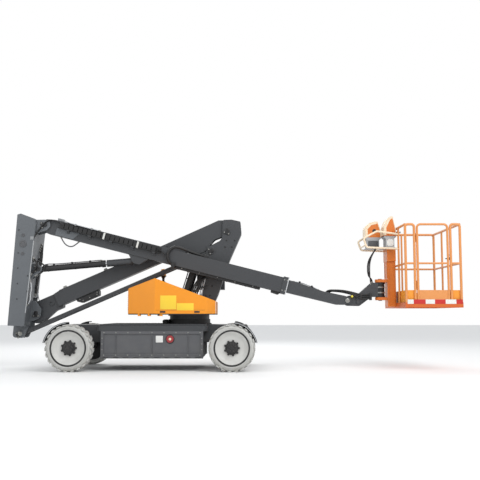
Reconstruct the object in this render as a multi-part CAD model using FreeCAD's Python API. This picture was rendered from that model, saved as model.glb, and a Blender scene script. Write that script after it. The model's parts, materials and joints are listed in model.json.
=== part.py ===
import FreeCAD, Part
import math
import os

# Articulating boom lift, stowed for travel. Millimetres; +X to the basket, +Y left, +Z up.
# The origin is on the ground, midway between the axles, on the chassis centre line.

os.makedirs("parts", exist_ok=True)

# Wheels and axles
wheel_base = 2000.0
tyre_radius = 290.0
tyre_width = 190.0
tyre_track = 1440.0
tyre_draw_in = 22.0
tyre_seat_radius = 222.0
rim_lip = 8.0
rim_wall = 10.0
rim_dish = 62.0
rim_disc_thickness = 12.0
hub_radius = 82.0
hub_height = 46.0
hub_lugs = 9
hub_lug_radius = 13.0
stub_radius = 37.0
axle_depth = 120.0
kingpin_offset = 600.0
kingpin_radius = 20.0
knuckle_height = 120.0
ear_thickness = 34.0
guard_gap = 22.0
guard_thickness = 7.0

# Chassis
body_length = 1280.0
body_width = 1120.0
body_bottom = 165.0
deck_top = 580.0
deck_depth = 88.0
deck_length = 1400.0
spine_width = 820.0
end_overhang = 188.0
end_plate_thickness = 14.0
end_plate_bottom = 205.0
tie_down_radius = 20.0
tie_down_y = 280.0
tie_down_z = 270.0
cover_thickness = 42.0
cover_recess = 14.0
cover_lip = 26.0
lip_depth = 16.0
lip_slots = 10
slot_length = 70.0
slot_height = 9.0

# Slewing ring and turntable
slew_x = 430.0
ring_radius = 275.0
ring_bore = 190.0
ring_height = 60.0
race_radius = 262.0
table_bottom = 700.0
table_thickness = 18.0
shelf_thickness = 12.0

# Cowls
cowl_rear_x = -330.0
cowl_front_x = 790.0
cowl_peak_x = 30.0
cowl_bottom = 710.0
cowl_peak_z = 1156.0
cowl_nose_z = 872.0
cowl_tail_z = 1030.0
cowl_side = 600.0
cowl_tail_side = 440.0
cowl_right_inner = 170.0
cowl_left_inner = 256.0
cowl_wall = 6.0
beacon_radius = 38.0
beacon_height = 105.0
beacon_base_height = 78.0

# Lane of the tower, lower boom, tie rods and lower cylinder
lane_y = 100.0
lower_pin_x = 932.0
lower_pin_z = 1825.0
lower_boom_length = 2772.0
lower_boom_angle = 23.5
link_dx = -205.0
link_dz = -272.0
tower_plate = 20.0
tower_gap = 210.0
pin_radius = 27.0
pin_head = 8.0
lower_beam_half = 90.0
lower_beam_top = 165.0
lower_beam_bottom = -35.0
lower_beam_wall = 10.0
elbow_plate = 20.0
elbow_length = 872.0
tongue_half = 62.0
bar_inner = 70.0
bar_width = 30.0
bar_depth = 50.0

# Lower lift cylinder
lower_cyl_base_x = 310.0
lower_cyl_base_z = 760.0
lower_lug_radius = 450.0
lower_lug_drop = 93.5
lower_barrel_radius = 55.0
lower_bore_radius = 45.0
lower_rod_radius = 30.0

# Post
post_lean = 2.5
post_rear_low = -285.0
post_rear_top = -262.0
post_front_low = -75.0
post_front_top = -12.0
post_top = 1289.0
post_bottom = -175.0
post_fork_top = 205.0
post_plate = 20.0
post_gap = 216.0
post_left_y = 228.0
post_right_y = -300.0
post_wall = 12.0

# Upper boom, its fly and its cylinder, in their own lane
upper_lane_y = -170.0
upper_pin_dx = 150.1
upper_pin_dz = 1150.3
upper_boom_angle = -14.15
upper_tube_length = 3276.0
upper_tube_width = 160.0
upper_tube_depth = 200.0
upper_tube_wall = 8.0
fly_width = 130.0
fly_depth = 165.0
fly_wall = 8.0
fly_start = 980.0
fly_taper_out = 124.0
nose_reach = 805.9
nose_rise = 8.1
pad_length = 90.0
pad_clearance = 0.3
upper_cyl_base_dx = 70.1
upper_cyl_base_dz = 574.3
upper_lug_s = 1283.6
upper_lug_drop = 157.0
upper_barrel_radius = 40.0
upper_bore_radius = 31.0
upper_rod_radius = 22.0
upper_sleeve_radius = 46.0
upper_sleeve_length = 330.0
tray_length = 1180.0
tray_end_gap = 336.0
carrier_start = 190.0
carrier_end = 1560.0

# Platform bracket and rotator
rotator_ahead = 440.0
rotator_lift = 45.0
rotator_height = 195.0
rotator_radius = 58.0
rotator_shaft = 24.0

# Basket
basket_ahead = 190.0
basket_length = 710.0
column_height = 760.0
basket_half_width = 645.0
floor_drop = 75.0
floor_depth = 65.0
console_half = 230.0
console_height = 713.0
guard_reach = 435.0
rail_radius = 16.0
rail_bend = 34.0
mid_rail_height = 480.0
top_rail_height = 965.0
toeboard_height = 150.0
gate_inset = 127.0
gate_width = 448.0
gate_clearance = 6.0

running_clearance = 0.3
side_clearance = 5.0


def box(x0, x1, y0, y1, z0, z1):
    return Part.makeBox(x1 - x0, y1 - y0, z1 - z0, FreeCAD.Vector(x0, y0, z0))


def rounded_wire(points, to_vector):
    # Each point is (a, b) or (a, b, radius); a radius rounds that corner with an arc.
    corners = [(p[0], p[1], p[2] if len(p) > 2 else 0.0) for p in points]
    starts, ends, middles = [], [], []
    count = len(corners)
    for i, (a, b, radius) in enumerate(corners):
        before = corners[i - 1]
        after = corners[(i + 1) % count]
        u = FreeCAD.Vector(before[0] - a, before[1] - b, 0)
        v = FreeCAD.Vector(after[0] - a, after[1] - b, 0)
        corner = FreeCAD.Vector(a, b, 0)
        if radius <= 0:
            starts.append(corner)
            ends.append(corner)
            middles.append(None)
            continue
        u.normalize()
        v.normalize()
        half = u.getAngle(v) / 2.0
        reach = radius / math.tan(half)
        bisector = u + v
        bisector.normalize()
        starts.append(corner + u * reach)
        ends.append(corner + v * reach)
        middles.append(corner + bisector * (radius / math.sin(half) - radius))
    edges = []
    for i in range(count):
        if middles[i] is not None:
            arc = Part.Arc(to_vector(starts[i]), to_vector(middles[i]), to_vector(ends[i]))
            edges.append(arc.toShape())
        a = ends[i]
        b = starts[(i + 1) % count]
        if (b - a).Length > 1e-6:
            edges.append(Part.LineSegment(to_vector(a), to_vector(b)).toShape())
    return Part.Wire(edges)


def prism(points, y0, y1):
    # A profile in the X-Z plane, extruded from y0 to y1.
    wire = rounded_wire(points, lambda p: FreeCAD.Vector(p.x, y0, p.y))
    return Part.Face(wire).extrude(FreeCAD.Vector(0, y1 - y0, 0))


def slab(points, z0, z1):
    # A profile in the X-Y plane, extruded from z0 to z1.
    wire = rounded_wire(points, lambda p: FreeCAD.Vector(p.x, p.y, z0))
    return Part.Face(wire).extrude(FreeCAD.Vector(0, 0, z1 - z0))


def disc(x, z, radius, y0, y1):
    low = min(y0, y1)
    return Part.makeCylinder(radius, abs(y1 - y0), FreeCAD.Vector(x, low, z), FreeCAD.Vector(0, 1, 0))


def upright(x, y, radius, z0, z1):
    return Part.makeCylinder(radius, z1 - z0, FreeCAD.Vector(x, y, z0), FreeCAD.Vector(0, 0, 1))


def bar(start, end, radius):
    a = FreeCAD.Vector(*start)
    b = FreeCAD.Vector(*end)
    return Part.makeCylinder(radius, (b - a).Length, a, b - a)


def fuse(shapes):
    whole = shapes[0].multiFuse(shapes[1:]) if len(shapes) > 1 else shapes[0]
    return whole.removeSplitter()


def tube_path(points, radius, bend):
    # A round tube through the points, with each inner corner bent to the given radius.
    vectors = [FreeCAD.Vector(*p) for p in points]
    edges = []
    last = vectors[0]
    for i in range(1, len(vectors) - 1):
        corner = vectors[i]
        u = vectors[i - 1] - corner
        v = vectors[i + 1] - corner
        u.normalize()
        v.normalize()
        half = u.getAngle(v) / 2.0
        reach = bend / math.tan(half)
        bisector = u + v
        bisector.normalize()
        start = corner + u * reach
        end = corner + v * reach
        middle = corner + bisector * (bend / math.sin(half) - bend)
        edges.append(Part.LineSegment(last, start).toShape())
        edges.append(Part.Arc(start, middle, end).toShape())
        last = end
    edges.append(Part.LineSegment(last, vectors[-1]).toShape())
    path = Part.Wire(edges)
    circle = Part.Circle(vectors[0], vectors[1] - vectors[0], radius)
    return path.makePipeShell([Part.Wire([circle.toShape()])], True, False)


parts = {}


def save(name, shape):
    parts[name] = shape


class Lane:
    # A side-view frame: s runs along the angle from the origin, n is square to it, upwards.
    def __init__(self, x, z, angle):
        self.x = x
        self.z = z
        self.c = math.cos(math.radians(angle))
        self.s = math.sin(math.radians(angle))

    def at(self, s, n):
        return (self.x + s * self.c - n * self.s, self.z + s * self.s + n * self.c)

    def plate(self, points, y0, y1):
        placed = [self.at(p[0], p[1]) + tuple(p[2:]) for p in points]
        return prism(placed, y0, y1)

    def eye(self, s, n, radius, y0, y1):
        x, z = self.at(s, n)
        return disc(x, z, radius, y0, y1)

    def round_bar(self, s0, s1, n, radius, y):
        x0, z0 = self.at(s0, n)
        x1, z1 = self.at(s1, n)
        return bar((x0, y, z0), (x1, y, z1), radius)


# Places worked out from the driving sizes
wheel_y = tyre_track / 2.0
axle_z = tyre_radius
front_x = wheel_base / 2.0
rear_x = -wheel_base / 2.0
end_plate_x = front_x + end_overhang

boom_back = math.radians(180.0 + lower_boom_angle)
post_pin_x = lower_pin_x + lower_boom_length * math.cos(boom_back)
post_pin_z = lower_pin_z + lower_boom_length * math.sin(boom_back)
tie_front_x = lower_pin_x + link_dx
tie_front_z = lower_pin_z + link_dz
tie_rear_x = post_pin_x + link_dx
tie_rear_z = post_pin_z + link_dz

upper_pin_x = post_pin_x + upper_pin_dx
upper_pin_z = post_pin_z + upper_pin_dz
upper_cyl_base_x = post_pin_x + upper_cyl_base_dx
upper_cyl_base_z = post_pin_z + upper_cyl_base_dz

lower_lane = Lane(post_pin_x, post_pin_z, lower_boom_angle)
tie_lane = Lane(tie_rear_x, tie_rear_z, lower_boom_angle)
post_lane = Lane(post_pin_x, post_pin_z, -post_lean)
upper_lane = Lane(upper_pin_x, upper_pin_z, upper_boom_angle)

lug_reach = math.sqrt(lower_lug_radius ** 2 - lower_lug_drop ** 2)
lower_lug_s = lower_boom_length - lug_reach
lower_lug_x, lower_lug_z = lower_lane.at(lower_lug_s, -lower_lug_drop)

lower_cyl_dx = lower_lug_x - lower_cyl_base_x
lower_cyl_dz = lower_lug_z - lower_cyl_base_z
lower_cyl_closed = math.hypot(lower_cyl_dx, lower_cyl_dz)
lower_cyl_lane = Lane(lower_cyl_base_x, lower_cyl_base_z,
                      math.degrees(math.atan2(lower_cyl_dz, lower_cyl_dx)))

upper_lug_x, upper_lug_z = upper_lane.at(upper_lug_s, -upper_lug_drop)
upper_cyl_dx = upper_lug_x - upper_cyl_base_x
upper_cyl_dz = upper_lug_z - upper_cyl_base_z
upper_cyl_closed = math.hypot(upper_cyl_dx, upper_cyl_dz)
upper_cyl_lane = Lane(upper_cyl_base_x, upper_cyl_base_z,
                      math.degrees(math.atan2(upper_cyl_dz, upper_cyl_dx)))

fly_taper = upper_tube_length + fly_taper_out
level_pin_x, level_pin_z = upper_lane.at(upper_tube_length + nose_reach, nose_rise)
rotator_x = level_pin_x + rotator_ahead
rotator_bottom = level_pin_z + rotator_lift
rotator_top = rotator_bottom + rotator_height

basket_rear_x = rotator_x + basket_ahead
basket_front_x = basket_rear_x + basket_length
basket_floor_z = rotator_bottom - floor_drop
basket_bottom = basket_floor_z - floor_depth
mid_rail_z = basket_floor_z + mid_rail_height
top_rail_z = basket_floor_z + top_rail_height
gate_rear_x = basket_rear_x + gate_inset
gate_front_x = gate_rear_x + gate_width

tower_inner = tower_gap / 2.0
tower_outer = tower_inner + tower_plate


def make_tyre(x, side):
    # Solid tyre: sidewalls that draw in towards the tread, and a seat for the rim inside.
    half = tyre_width / 2.0
    profile = [(tyre_seat_radius, -half), (tyre_radius, -half + tyre_draw_in),
               (tyre_radius, half - tyre_draw_in), (tyre_seat_radius, half)]
    centre = FreeCAD.Vector(x, side * wheel_y, axle_z)
    wire = rounded_wire(profile, lambda p: centre + FreeCAD.Vector(p.x, p.y, 0))
    return Part.Face(wire).revolve(centre, FreeCAD.Vector(0, 1, 0), 360)


def make_rim(x, side):
    # Dished rim: barrel, outer lip, disc and the drive hub with its ring of lugs.
    out = wheel_y + tyre_width / 2.0
    inn = wheel_y - tyre_width / 2.0
    barrel_outer = tyre_seat_radius
    barrel_inner = barrel_outer - rim_wall
    disc_out = out - rim_dish
    disc_in = disc_out - rim_disc_thickness
    barrel = disc(x, axle_z, barrel_outer, inn, out).cut(disc(x, axle_z, barrel_inner, inn, out))
    lip = disc(x, axle_z, barrel_outer, out - 16, out).cut(
        disc(x, axle_z, barrel_inner - rim_lip, out - 16, out))
    plate = disc(x, axle_z, barrel_inner + 1, disc_in, disc_out)
    cone = Part.makeCone(barrel_inner + 1, barrel_inner - 46, rim_dish - 30,
                         FreeCAD.Vector(x, out - 20, axle_z), FreeCAD.Vector(0, -1, 0))
    core = Part.makeCone(barrel_inner - 7, barrel_inner - 54, rim_dish - 30,
                         FreeCAD.Vector(x, out - 20, axle_z), FreeCAD.Vector(0, -1, 0))
    plate = fuse([barrel, lip, plate, cone.cut(core)])
    hub = [disc(x, axle_z, hub_radius, disc_in, disc_out + hub_height * 0.55),
           disc(x, axle_z, hub_radius * 0.72, disc_out, disc_out + hub_height),
           disc(x, axle_z, stub_radius + 24, inn + 40, disc_out)]
    for i in range(hub_lugs):
        turn = 2 * math.pi * i / hub_lugs
        reach = hub_radius + hub_lug_radius * 0.35
        hub.append(disc(x + reach * math.cos(turn), axle_z + reach * math.sin(turn), hub_lug_radius,
                        disc_in, disc_out + hub_height * 0.4))
    whole = fuse([plate] + hub)
    whole = whole.cut(disc(x, axle_z, stub_radius + running_clearance, inn, disc_in + 6))
    if side < 0:
        whole = whole.mirror(FreeCAD.Vector(0, 0, 0), FreeCAD.Vector(0, 1, 0))
    return whole


def guard_shell(x, side, first, last):
    # Quarter guard over the tyre between two angles from +X, with its inner web.
    inner = tyre_radius + guard_gap
    outer = inner + guard_thickness
    y_in = wheel_y - tyre_width / 2.0 - 6 - guard_thickness
    y_out = wheel_y + tyre_width / 2.0 - 8
    ring = disc(x, axle_z, outer, y_in, y_out).cut(disc(x, axle_z, inner, y_in - 1, y_out + 1))
    web = disc(x, axle_z, outer, y_in, y_in + guard_thickness).cut(
        disc(x, axle_z, outer - 55, y_in - 1, y_in + guard_thickness + 1))
    far = outer * 2
    a = math.radians(first)
    b = math.radians(last)
    middle = (a + b) / 2.0
    corners = [(x, axle_z), (x + far * math.cos(a), axle_z + far * math.sin(a)),
               (x + far * 1.5 * math.cos(middle), axle_z + far * 1.5 * math.sin(middle)),
               (x + far * math.cos(b), axle_z + far * math.sin(b))]
    wedge = prism(corners, y_in - 5, y_out + 5)
    whole = fuse([ring.common(wedge), web.common(wedge)])
    if side < 0:
        whole = whole.mirror(FreeCAD.Vector(0, 0, 0), FreeCAD.Vector(0, 1, 0))
    return whole


def make_rear_guard(side):
    # Rear guard with the plate that carries it from the axle's flange.
    y_in = wheel_y - tyre_width / 2.0 - 6 - guard_thickness
    edge = tyre_radius + guard_gap
    low = math.radians(118)
    high = math.radians(152)
    arm = prism([(rear_x + 60, axle_z + 20), (rear_x + edge * math.cos(low), axle_z + edge * math.sin(low)),
                 (rear_x + edge * math.cos(high), axle_z + edge * math.sin(high)),
                 (rear_x - 40, axle_z - 60), (rear_x + 60, axle_z - 60)], y_in, y_in + guard_thickness)
    arm = arm.cut(disc(rear_x, axle_z, stub_radius + 4, y_in - 1, y_in + guard_thickness + 1))
    if side < 0:
        arm = arm.mirror(FreeCAD.Vector(0, 0, 0), FreeCAD.Vector(0, 1, 0))
    return fuse([arm, guard_shell(rear_x, side, 96, 168)])


def make_knuckle(side):
    # Steering knuckle between the axle's ears, its stub axle and the guard it carries.
    k = kingpin_offset
    half = knuckle_height / 2.0 - ear_thickness / 2.0 - running_clearance
    reach = knuckle_height / 2.0 + ear_thickness / 2.0 + 5
    stub_end = wheel_y + tyre_width / 2.0 - rim_dish - rim_disc_thickness + 5
    block = box(front_x - 36, front_x + 36, k - 30, k + 30, axle_z - half, axle_z + half)
    stub = disc(front_x, axle_z, stub_radius, k + 20, stub_end)
    kingpin = upright(front_x, k, kingpin_radius, axle_z - reach, axle_z + reach)
    y_in = wheel_y - tyre_width / 2.0 - 6 - guard_thickness
    edge = tyre_radius + guard_gap
    low = math.radians(28)
    high = math.radians(62)
    arm = prism([(front_x, axle_z - 34), (front_x + 64, axle_z - 34),
                 (front_x + edge * math.cos(low), axle_z + edge * math.sin(low)),
                 (front_x + edge * math.cos(high), axle_z + edge * math.sin(high)),
                 (front_x + 46, axle_z + 34), (front_x, axle_z + 34)], y_in, y_in + guard_thickness)
    whole = fuse([block, stub, kingpin, arm])
    if side < 0:
        whole = whole.mirror(FreeCAD.Vector(0, 0, 0), FreeCAD.Vector(0, 1, 0))
    return fuse([whole, guard_shell(front_x, side, 12, 84)])


def make_front_axle():
    # Beam under the frame, with an upper and a lower ear at each end round the kingpin.
    half = axle_depth / 2.0
    shapes = [box(front_x - half, front_x + half, -470, 470, axle_z - half, axle_z + half)]
    for side in (-1, 1):
        for up in (-1, 1):
            z = axle_z + up * knuckle_height / 2.0
            z0 = z - ear_thickness / 2.0
            z1 = z + ear_thickness / 2.0
            inner = 460 * side
            outer = kingpin_offset * side
            shapes.append(box(front_x - 30, front_x + 30, min(inner, outer), max(inner, outer), z0, z1))
            shapes.append(upright(front_x, outer, 30, z0, z1))
    beam = fuse(shapes)
    for side in (-1, 1):
        hole = upright(front_x, kingpin_offset * side, kingpin_radius + running_clearance, 0, 600)
        beam = beam.cut(hole)
    return beam


def make_rear_axle():
    # Beam under the frame with a flange and a stub for each rear wheel.
    half = axle_depth / 2.0
    stub_end = wheel_y + tyre_width / 2.0 - rim_dish - rim_disc_thickness + 5
    flange_y = wheel_y - tyre_width / 2.0 - 6 - guard_thickness
    return fuse([box(rear_x - half, rear_x + half, -560, 560, axle_z - half, axle_z + half),
                 disc(rear_x, axle_z, 85, -flange_y, -415),
                 disc(rear_x, axle_z, 85, 415, flange_y),
                 disc(rear_x, axle_z, stub_radius, -stub_end, stub_end)])


def make_chassis():
    # Box body, spine over the axles, end plates, deck and the pad of the slewing ring.
    half = body_length / 2.0
    wide = body_width / 2.0
    under_spine = axle_z + axle_depth / 2.0
    body = box(-half, half, -wide, wide, body_bottom, deck_top - deck_depth)
    spine = box(-end_plate_x, end_plate_x, -spine_width / 2.0, spine_width / 2.0, under_spine,
                deck_top - deck_depth)
    deck = slab([(-deck_length / 2.0, -wide - cover_thickness, 60), (deck_length / 2.0,
                 -wide - cover_thickness, 60), (deck_length / 2.0, wide + cover_thickness, 60),
                 (-deck_length / 2.0, wide + cover_thickness, 60)],
                deck_top - deck_depth, deck_top - 22)
    top = box(-end_plate_x, end_plate_x, -spine_width / 2.0, spine_width / 2.0,
              deck_top - deck_depth, deck_top - 10)
    crown = slab([(-deck_length / 2.0 + 30, -wide, 40), (deck_length / 2.0 - 30, -wide, 40),
                  (deck_length / 2.0 - 30, wide, 40), (-deck_length / 2.0 + 30, wide, 40)],
                 deck_top - 22, deck_top)
    pad = upright(slew_x, 0, ring_radius + 20, deck_top - 30, deck_top)
    ends = []
    for sign in (-1, 1):
        x0 = sign * end_plate_x
        plate = [(-spine_width / 2.0 - 20, deck_top - 20, 30), (spine_width / 2.0 + 20, deck_top - 20, 30),
                 (spine_width / 2.0 + 20, 300, 20), (spine_width / 2.0 - 90, end_plate_bottom, 20),
                 (-spine_width / 2.0 + 90, end_plate_bottom, 20), (-spine_width / 2.0 - 20, 300, 20)]
        wire = rounded_wire(plate, lambda p: FreeCAD.Vector(x0, p.x, p.y))
        ends.append(Part.Face(wire).extrude(FreeCAD.Vector(sign * end_plate_thickness, 0, 0)))
    whole = fuse([body, spine, deck, top, crown, pad] + ends)
    for y in (-tie_down_y, tie_down_y):
        hole = bar((-end_plate_x - 40, y, tie_down_z), (end_plate_x + 40, y, tie_down_z), tie_down_radius)
        whole = whole.cut(hole.cut(box(-end_plate_x, end_plate_x, -600, 600, 0, 600)))
    return whole


def make_side_cover(side):
    # Recessed side panel with a frame round it and the rail along its foot.
    half = body_length / 2.0
    y0 = body_width / 2.0
    y1 = y0 + cover_thickness
    z0 = body_bottom - 10
    z1 = deck_top - deck_depth
    panel = box(-half, half, y0, y1, z0, z1)
    pocket = prism([(-half + 34, z0 + cover_lip + 30, 14), (half - 34, z0 + cover_lip + 30, 14),
                    (half - 34, z1 - 34, 14), (-half + 34, z1 - 34, 14)], y1 - cover_recess, y1 + 1)
    shapes = [panel.cut(pocket)]
    rail = box(-half, half, y1 - 8, y1 + lip_depth, z0, z0 + cover_lip)
    pitch = body_length / lip_slots
    middle_z = z0 + cover_lip / 2.0
    for i in range(lip_slots):
        x = -half + pitch * (i + 0.5)
        slot = box(x - slot_length / 2.0, x + slot_length / 2.0, y1, y1 + lip_depth + 1,
                   middle_z - slot_height / 2.0, middle_z + slot_height / 2.0)
        rail = rail.cut(slot)
    shapes.append(rail)
    for x in (-half + 190, 0, half - 190):
        shapes.append(box(x - 5, x + 5, y1 - cover_recess, y1 - 4, z0 + cover_lip, z1 - 34))
    whole = fuse(shapes)
    if side < 0:
        whole = whole.mirror(FreeCAD.Vector(0, 0, 0), FreeCAD.Vector(0, 1, 0))
    return whole


def make_slew_ring():
    # Fixed race of the slewing ring, with its bolt heads and the worm drive's housing.
    ring = upright(slew_x, 0, ring_radius, deck_top, deck_top + ring_height)
    ring = ring.cut(upright(slew_x, 0, ring_bore, deck_top, deck_top + ring_height))
    shapes = [ring]
    worm_x = slew_x - ring_radius - 44
    shapes.append(bar((worm_x, -150, deck_top + 28), (worm_x, 150, deck_top + 28), 28))
    shapes.append(box(worm_x - 20, worm_x + 80, -60, 60, deck_top, deck_top + 54))
    return fuse(shapes)


def make_turntable():
    # Upper race, table plate, shelves under the cowls and the lower cylinder's lugs.
    top = table_bottom + table_thickness
    race = upright(slew_x, 0, race_radius, deck_top + ring_height + running_clearance,
                         table_bottom)
    race = race.cut(upright(slew_x, 0, ring_bore, deck_top, table_bottom))
    plate = slab([(cowl_rear_x + 30, -cowl_right_inner + 4, 20), (cowl_front_x - 40,
                  -cowl_right_inner + 4, 60), (cowl_front_x - 40, cowl_left_inner - 4, 60),
                  (cowl_rear_x + 30, cowl_left_inner - 4, 20)], table_bottom, top)
    shelf_top = cowl_bottom
    shelf = slab([(cowl_rear_x + 40, -cowl_tail_side + 30, 30), (cowl_peak_x, -cowl_side + 40, 30),
                  (cowl_front_x - 120, -cowl_side + 40, 60), (cowl_front_x - 60, -300, 30),
                  (cowl_front_x - 60, 300, 30), (cowl_front_x - 120, cowl_side - 40, 60),
                  (cowl_peak_x, cowl_side - 40, 30), (cowl_rear_x + 40, cowl_tail_side - 30, 30)],
                 shelf_top - shelf_thickness, shelf_top)
    shapes = [race, plate, shelf]
    lug_in = lower_barrel_radius + side_clearance
    for sign in (-1, 1):
        ya = lane_y + sign * lug_in
        yb = lane_y + sign * (lug_in + 18)
        shapes.append(prism([(lower_cyl_base_x - 85, top - 2), (lower_cyl_base_x + 85, top - 2),
                             (lower_cyl_base_x + 45, lower_cyl_base_z + 45, 44),
                             (lower_cyl_base_x - 45, lower_cyl_base_z + 45, 44)],
                            min(ya, yb), max(ya, yb)))
    shapes.append(disc(lower_cyl_base_x, lower_cyl_base_z, pin_radius, lane_y - lug_in - 26,
                       lane_y + lug_in + 26))
    return fuse(shapes)


def tower_profile():
    # Side plate: foot, leaning front edge, bevelled head, waist round the tie-rod pin.
    foot = table_bottom + table_thickness
    head = lower_pin_z + 147
    return [(470, foot), (696, foot), (803, 950, 60), (lower_pin_x + 38, 1443, 200),
            (lower_pin_x + 189, 1785, 40), (lower_pin_x + 173, head - 27, 14),
            (lower_pin_x + 53, head, 20), (lower_pin_x - 64, head - 4, 24),
            (lower_pin_x - 74, 1700, 90), (tie_front_x - 74, tie_front_z + 40, 44),
            (tie_front_x - 86, tie_front_z - 84, 60), (600, 1000, 200), (470, 800, 30)]


def make_tower():
    # Two side plates, the front and rear webs between them and the two pins.
    shapes = []
    outline = tower_profile()
    for sign in (-1, 1):
        ya = lane_y + sign * tower_inner
        yb = lane_y + sign * tower_outer
        shapes.append(prism(outline, min(ya, yb), max(ya, yb)))
    inside0 = lane_y - tower_inner
    inside1 = lane_y + tower_inner
    foot = table_bottom + table_thickness
    front = [(696, foot), (803, 950, 60), (lower_pin_x + 38, 1443, 200), (lower_pin_x + 189, 1785, 40),
             (lower_pin_x + 176, 1925), (lower_pin_x + 167, 1921), (lower_pin_x + 180, 1786, 40),
             (lower_pin_x + 28, 1447, 200), (791, 953, 60), (684, foot)]
    rear = [(560, foot), (570, foot), (612, 1000, 200), (627, 1240), (617, 1240), (602, 1002, 200)]
    shapes.append(prism(front, inside0, inside1))
    shapes.append(prism(rear, inside0, inside1))
    for x, z in ((700.0, 900.0), (720.0, 1200.0)):
        shapes.append(bar((x, inside0, z), (x, inside1, z), 26))
    for x, z in ((lower_pin_x, lower_pin_z), (tie_front_x, tie_front_z)):
        reach = tower_outer + pin_head
        shapes.append(disc(x, z, pin_radius, lane_y - reach, lane_y + reach))
        for sign in (-1, 1):
            ya = lane_y + sign * tower_outer
            yb = lane_y + sign * (tower_outer + pin_head)
            shapes.append(disc(x, z, pin_radius + 20, ya, yb))
    return fuse(shapes)


def cowl_block(side, wall):
    # Long front slope, short rear slope and a tail cut in at its corner, shrunk by the wall.
    inner_y = cowl_right_inner if side < 0 else cowl_left_inner
    profile = [(cowl_rear_x + wall, cowl_bottom - wall), (cowl_front_x - wall, cowl_bottom - wall),
               (cowl_front_x - wall, cowl_nose_z - wall, 18),
               (cowl_peak_x, cowl_peak_z - wall * 1.1, 30), (cowl_rear_x + wall, cowl_tail_z - wall, 18)]
    plan = [(cowl_rear_x + wall, inner_y + wall), (cowl_front_x - wall, inner_y + wall),
            (cowl_front_x - wall, cowl_side - 90 - wall, 30), (cowl_front_x - 110, cowl_side - wall, 60),
            (cowl_peak_x, cowl_side - wall, 20), (cowl_rear_x + wall, cowl_tail_side - wall, 18)]
    block = prism(profile, inner_y + wall, cowl_side - wall)
    block = block.common(slab(plan, cowl_bottom - wall, cowl_peak_z))
    if side < 0:
        block = block.mirror(FreeCAD.Vector(0, 0, 0), FreeCAD.Vector(0, 1, 0))
    return block


def make_cowl(side):
    return cowl_block(side, 0.0).cut(cowl_block(side, cowl_wall))


def make_power_blocks():
    # Battery under the right cowl and pump set under the left one, as plain masses.
    z0 = cowl_bottom
    right = box(-120, 420, -490, -200, z0, z0 + 240)
    left = box(-120, 360, cowl_left_inner + 30, 490, z0, z0 + 220)
    return Part.Compound([right, left])


def make_counterweight():
    # Cast block at the tail between the cowls.
    top = table_bottom + table_thickness
    low = -cowl_right_inner + 14
    high = cowl_left_inner - 14
    profile = [(cowl_rear_x + 34, top), (130, top), (130, 860, 30), (40, 945, 40),
               (cowl_rear_x + 60, 945, 50), (cowl_rear_x + 34, 900, 20)]
    return prism(profile, low, high)


def make_beacon():
    # Funnel base and domed lamp on the left cowl's ridge.
    y = (cowl_left_inner + cowl_side) / 2.0
    base_z = cowl_peak_z
    top_z = base_z + beacon_base_height
    profile = [(0, base_z - 30), (24, base_z - 30), (24, base_z), (16, base_z + 14), (20, top_z - 26),
               (beacon_radius + 4, top_z), (0, top_z)]
    wire = rounded_wire(profile, lambda p: FreeCAD.Vector(cowl_peak_x + p.x, y, p.y))
    base = Part.Face(wire).revolve(FreeCAD.Vector(cowl_peak_x, y, 0), FreeCAD.Vector(0, 0, 1), 360)
    shoulder = top_z + beacon_height - 24
    lamp = upright(cowl_peak_x, y, beacon_radius, top_z, shoulder)
    dome = Part.makeCone(beacon_radius, beacon_radius - 18, 24, FreeCAD.Vector(cowl_peak_x, y, shoulder))
    return fuse([base, lamp, dome]).cut(cowl_block(1, 0.0))


def make_valve_box():
    # Framed box on the tower's left side, its window sunk into the outer face.
    y0 = lane_y + tower_outer + pin_head + 3
    y1 = 450.0
    outer = box(510, 890, y0, y1, 1040, 1580)
    window = prism([(548, 1078, 20), (852, 1078, 20), (852, 1542, 20), (548, 1542, 20)], y1 - 70, y1 + 1)
    bracket = box(640, 760, lane_y + tower_outer, y0 + 10, 1180, 1400)
    shapes = [outer.cut(window), bracket]
    for column in range(3):
        for row in range(2):
            x = 610 + column * 90
            z = 1190 + row * 190
            shapes.append(box(x - 26, x + 26, y1 - 72, y1 - 24, z - 60, z + 60))
    return fuse(shapes)


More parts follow.
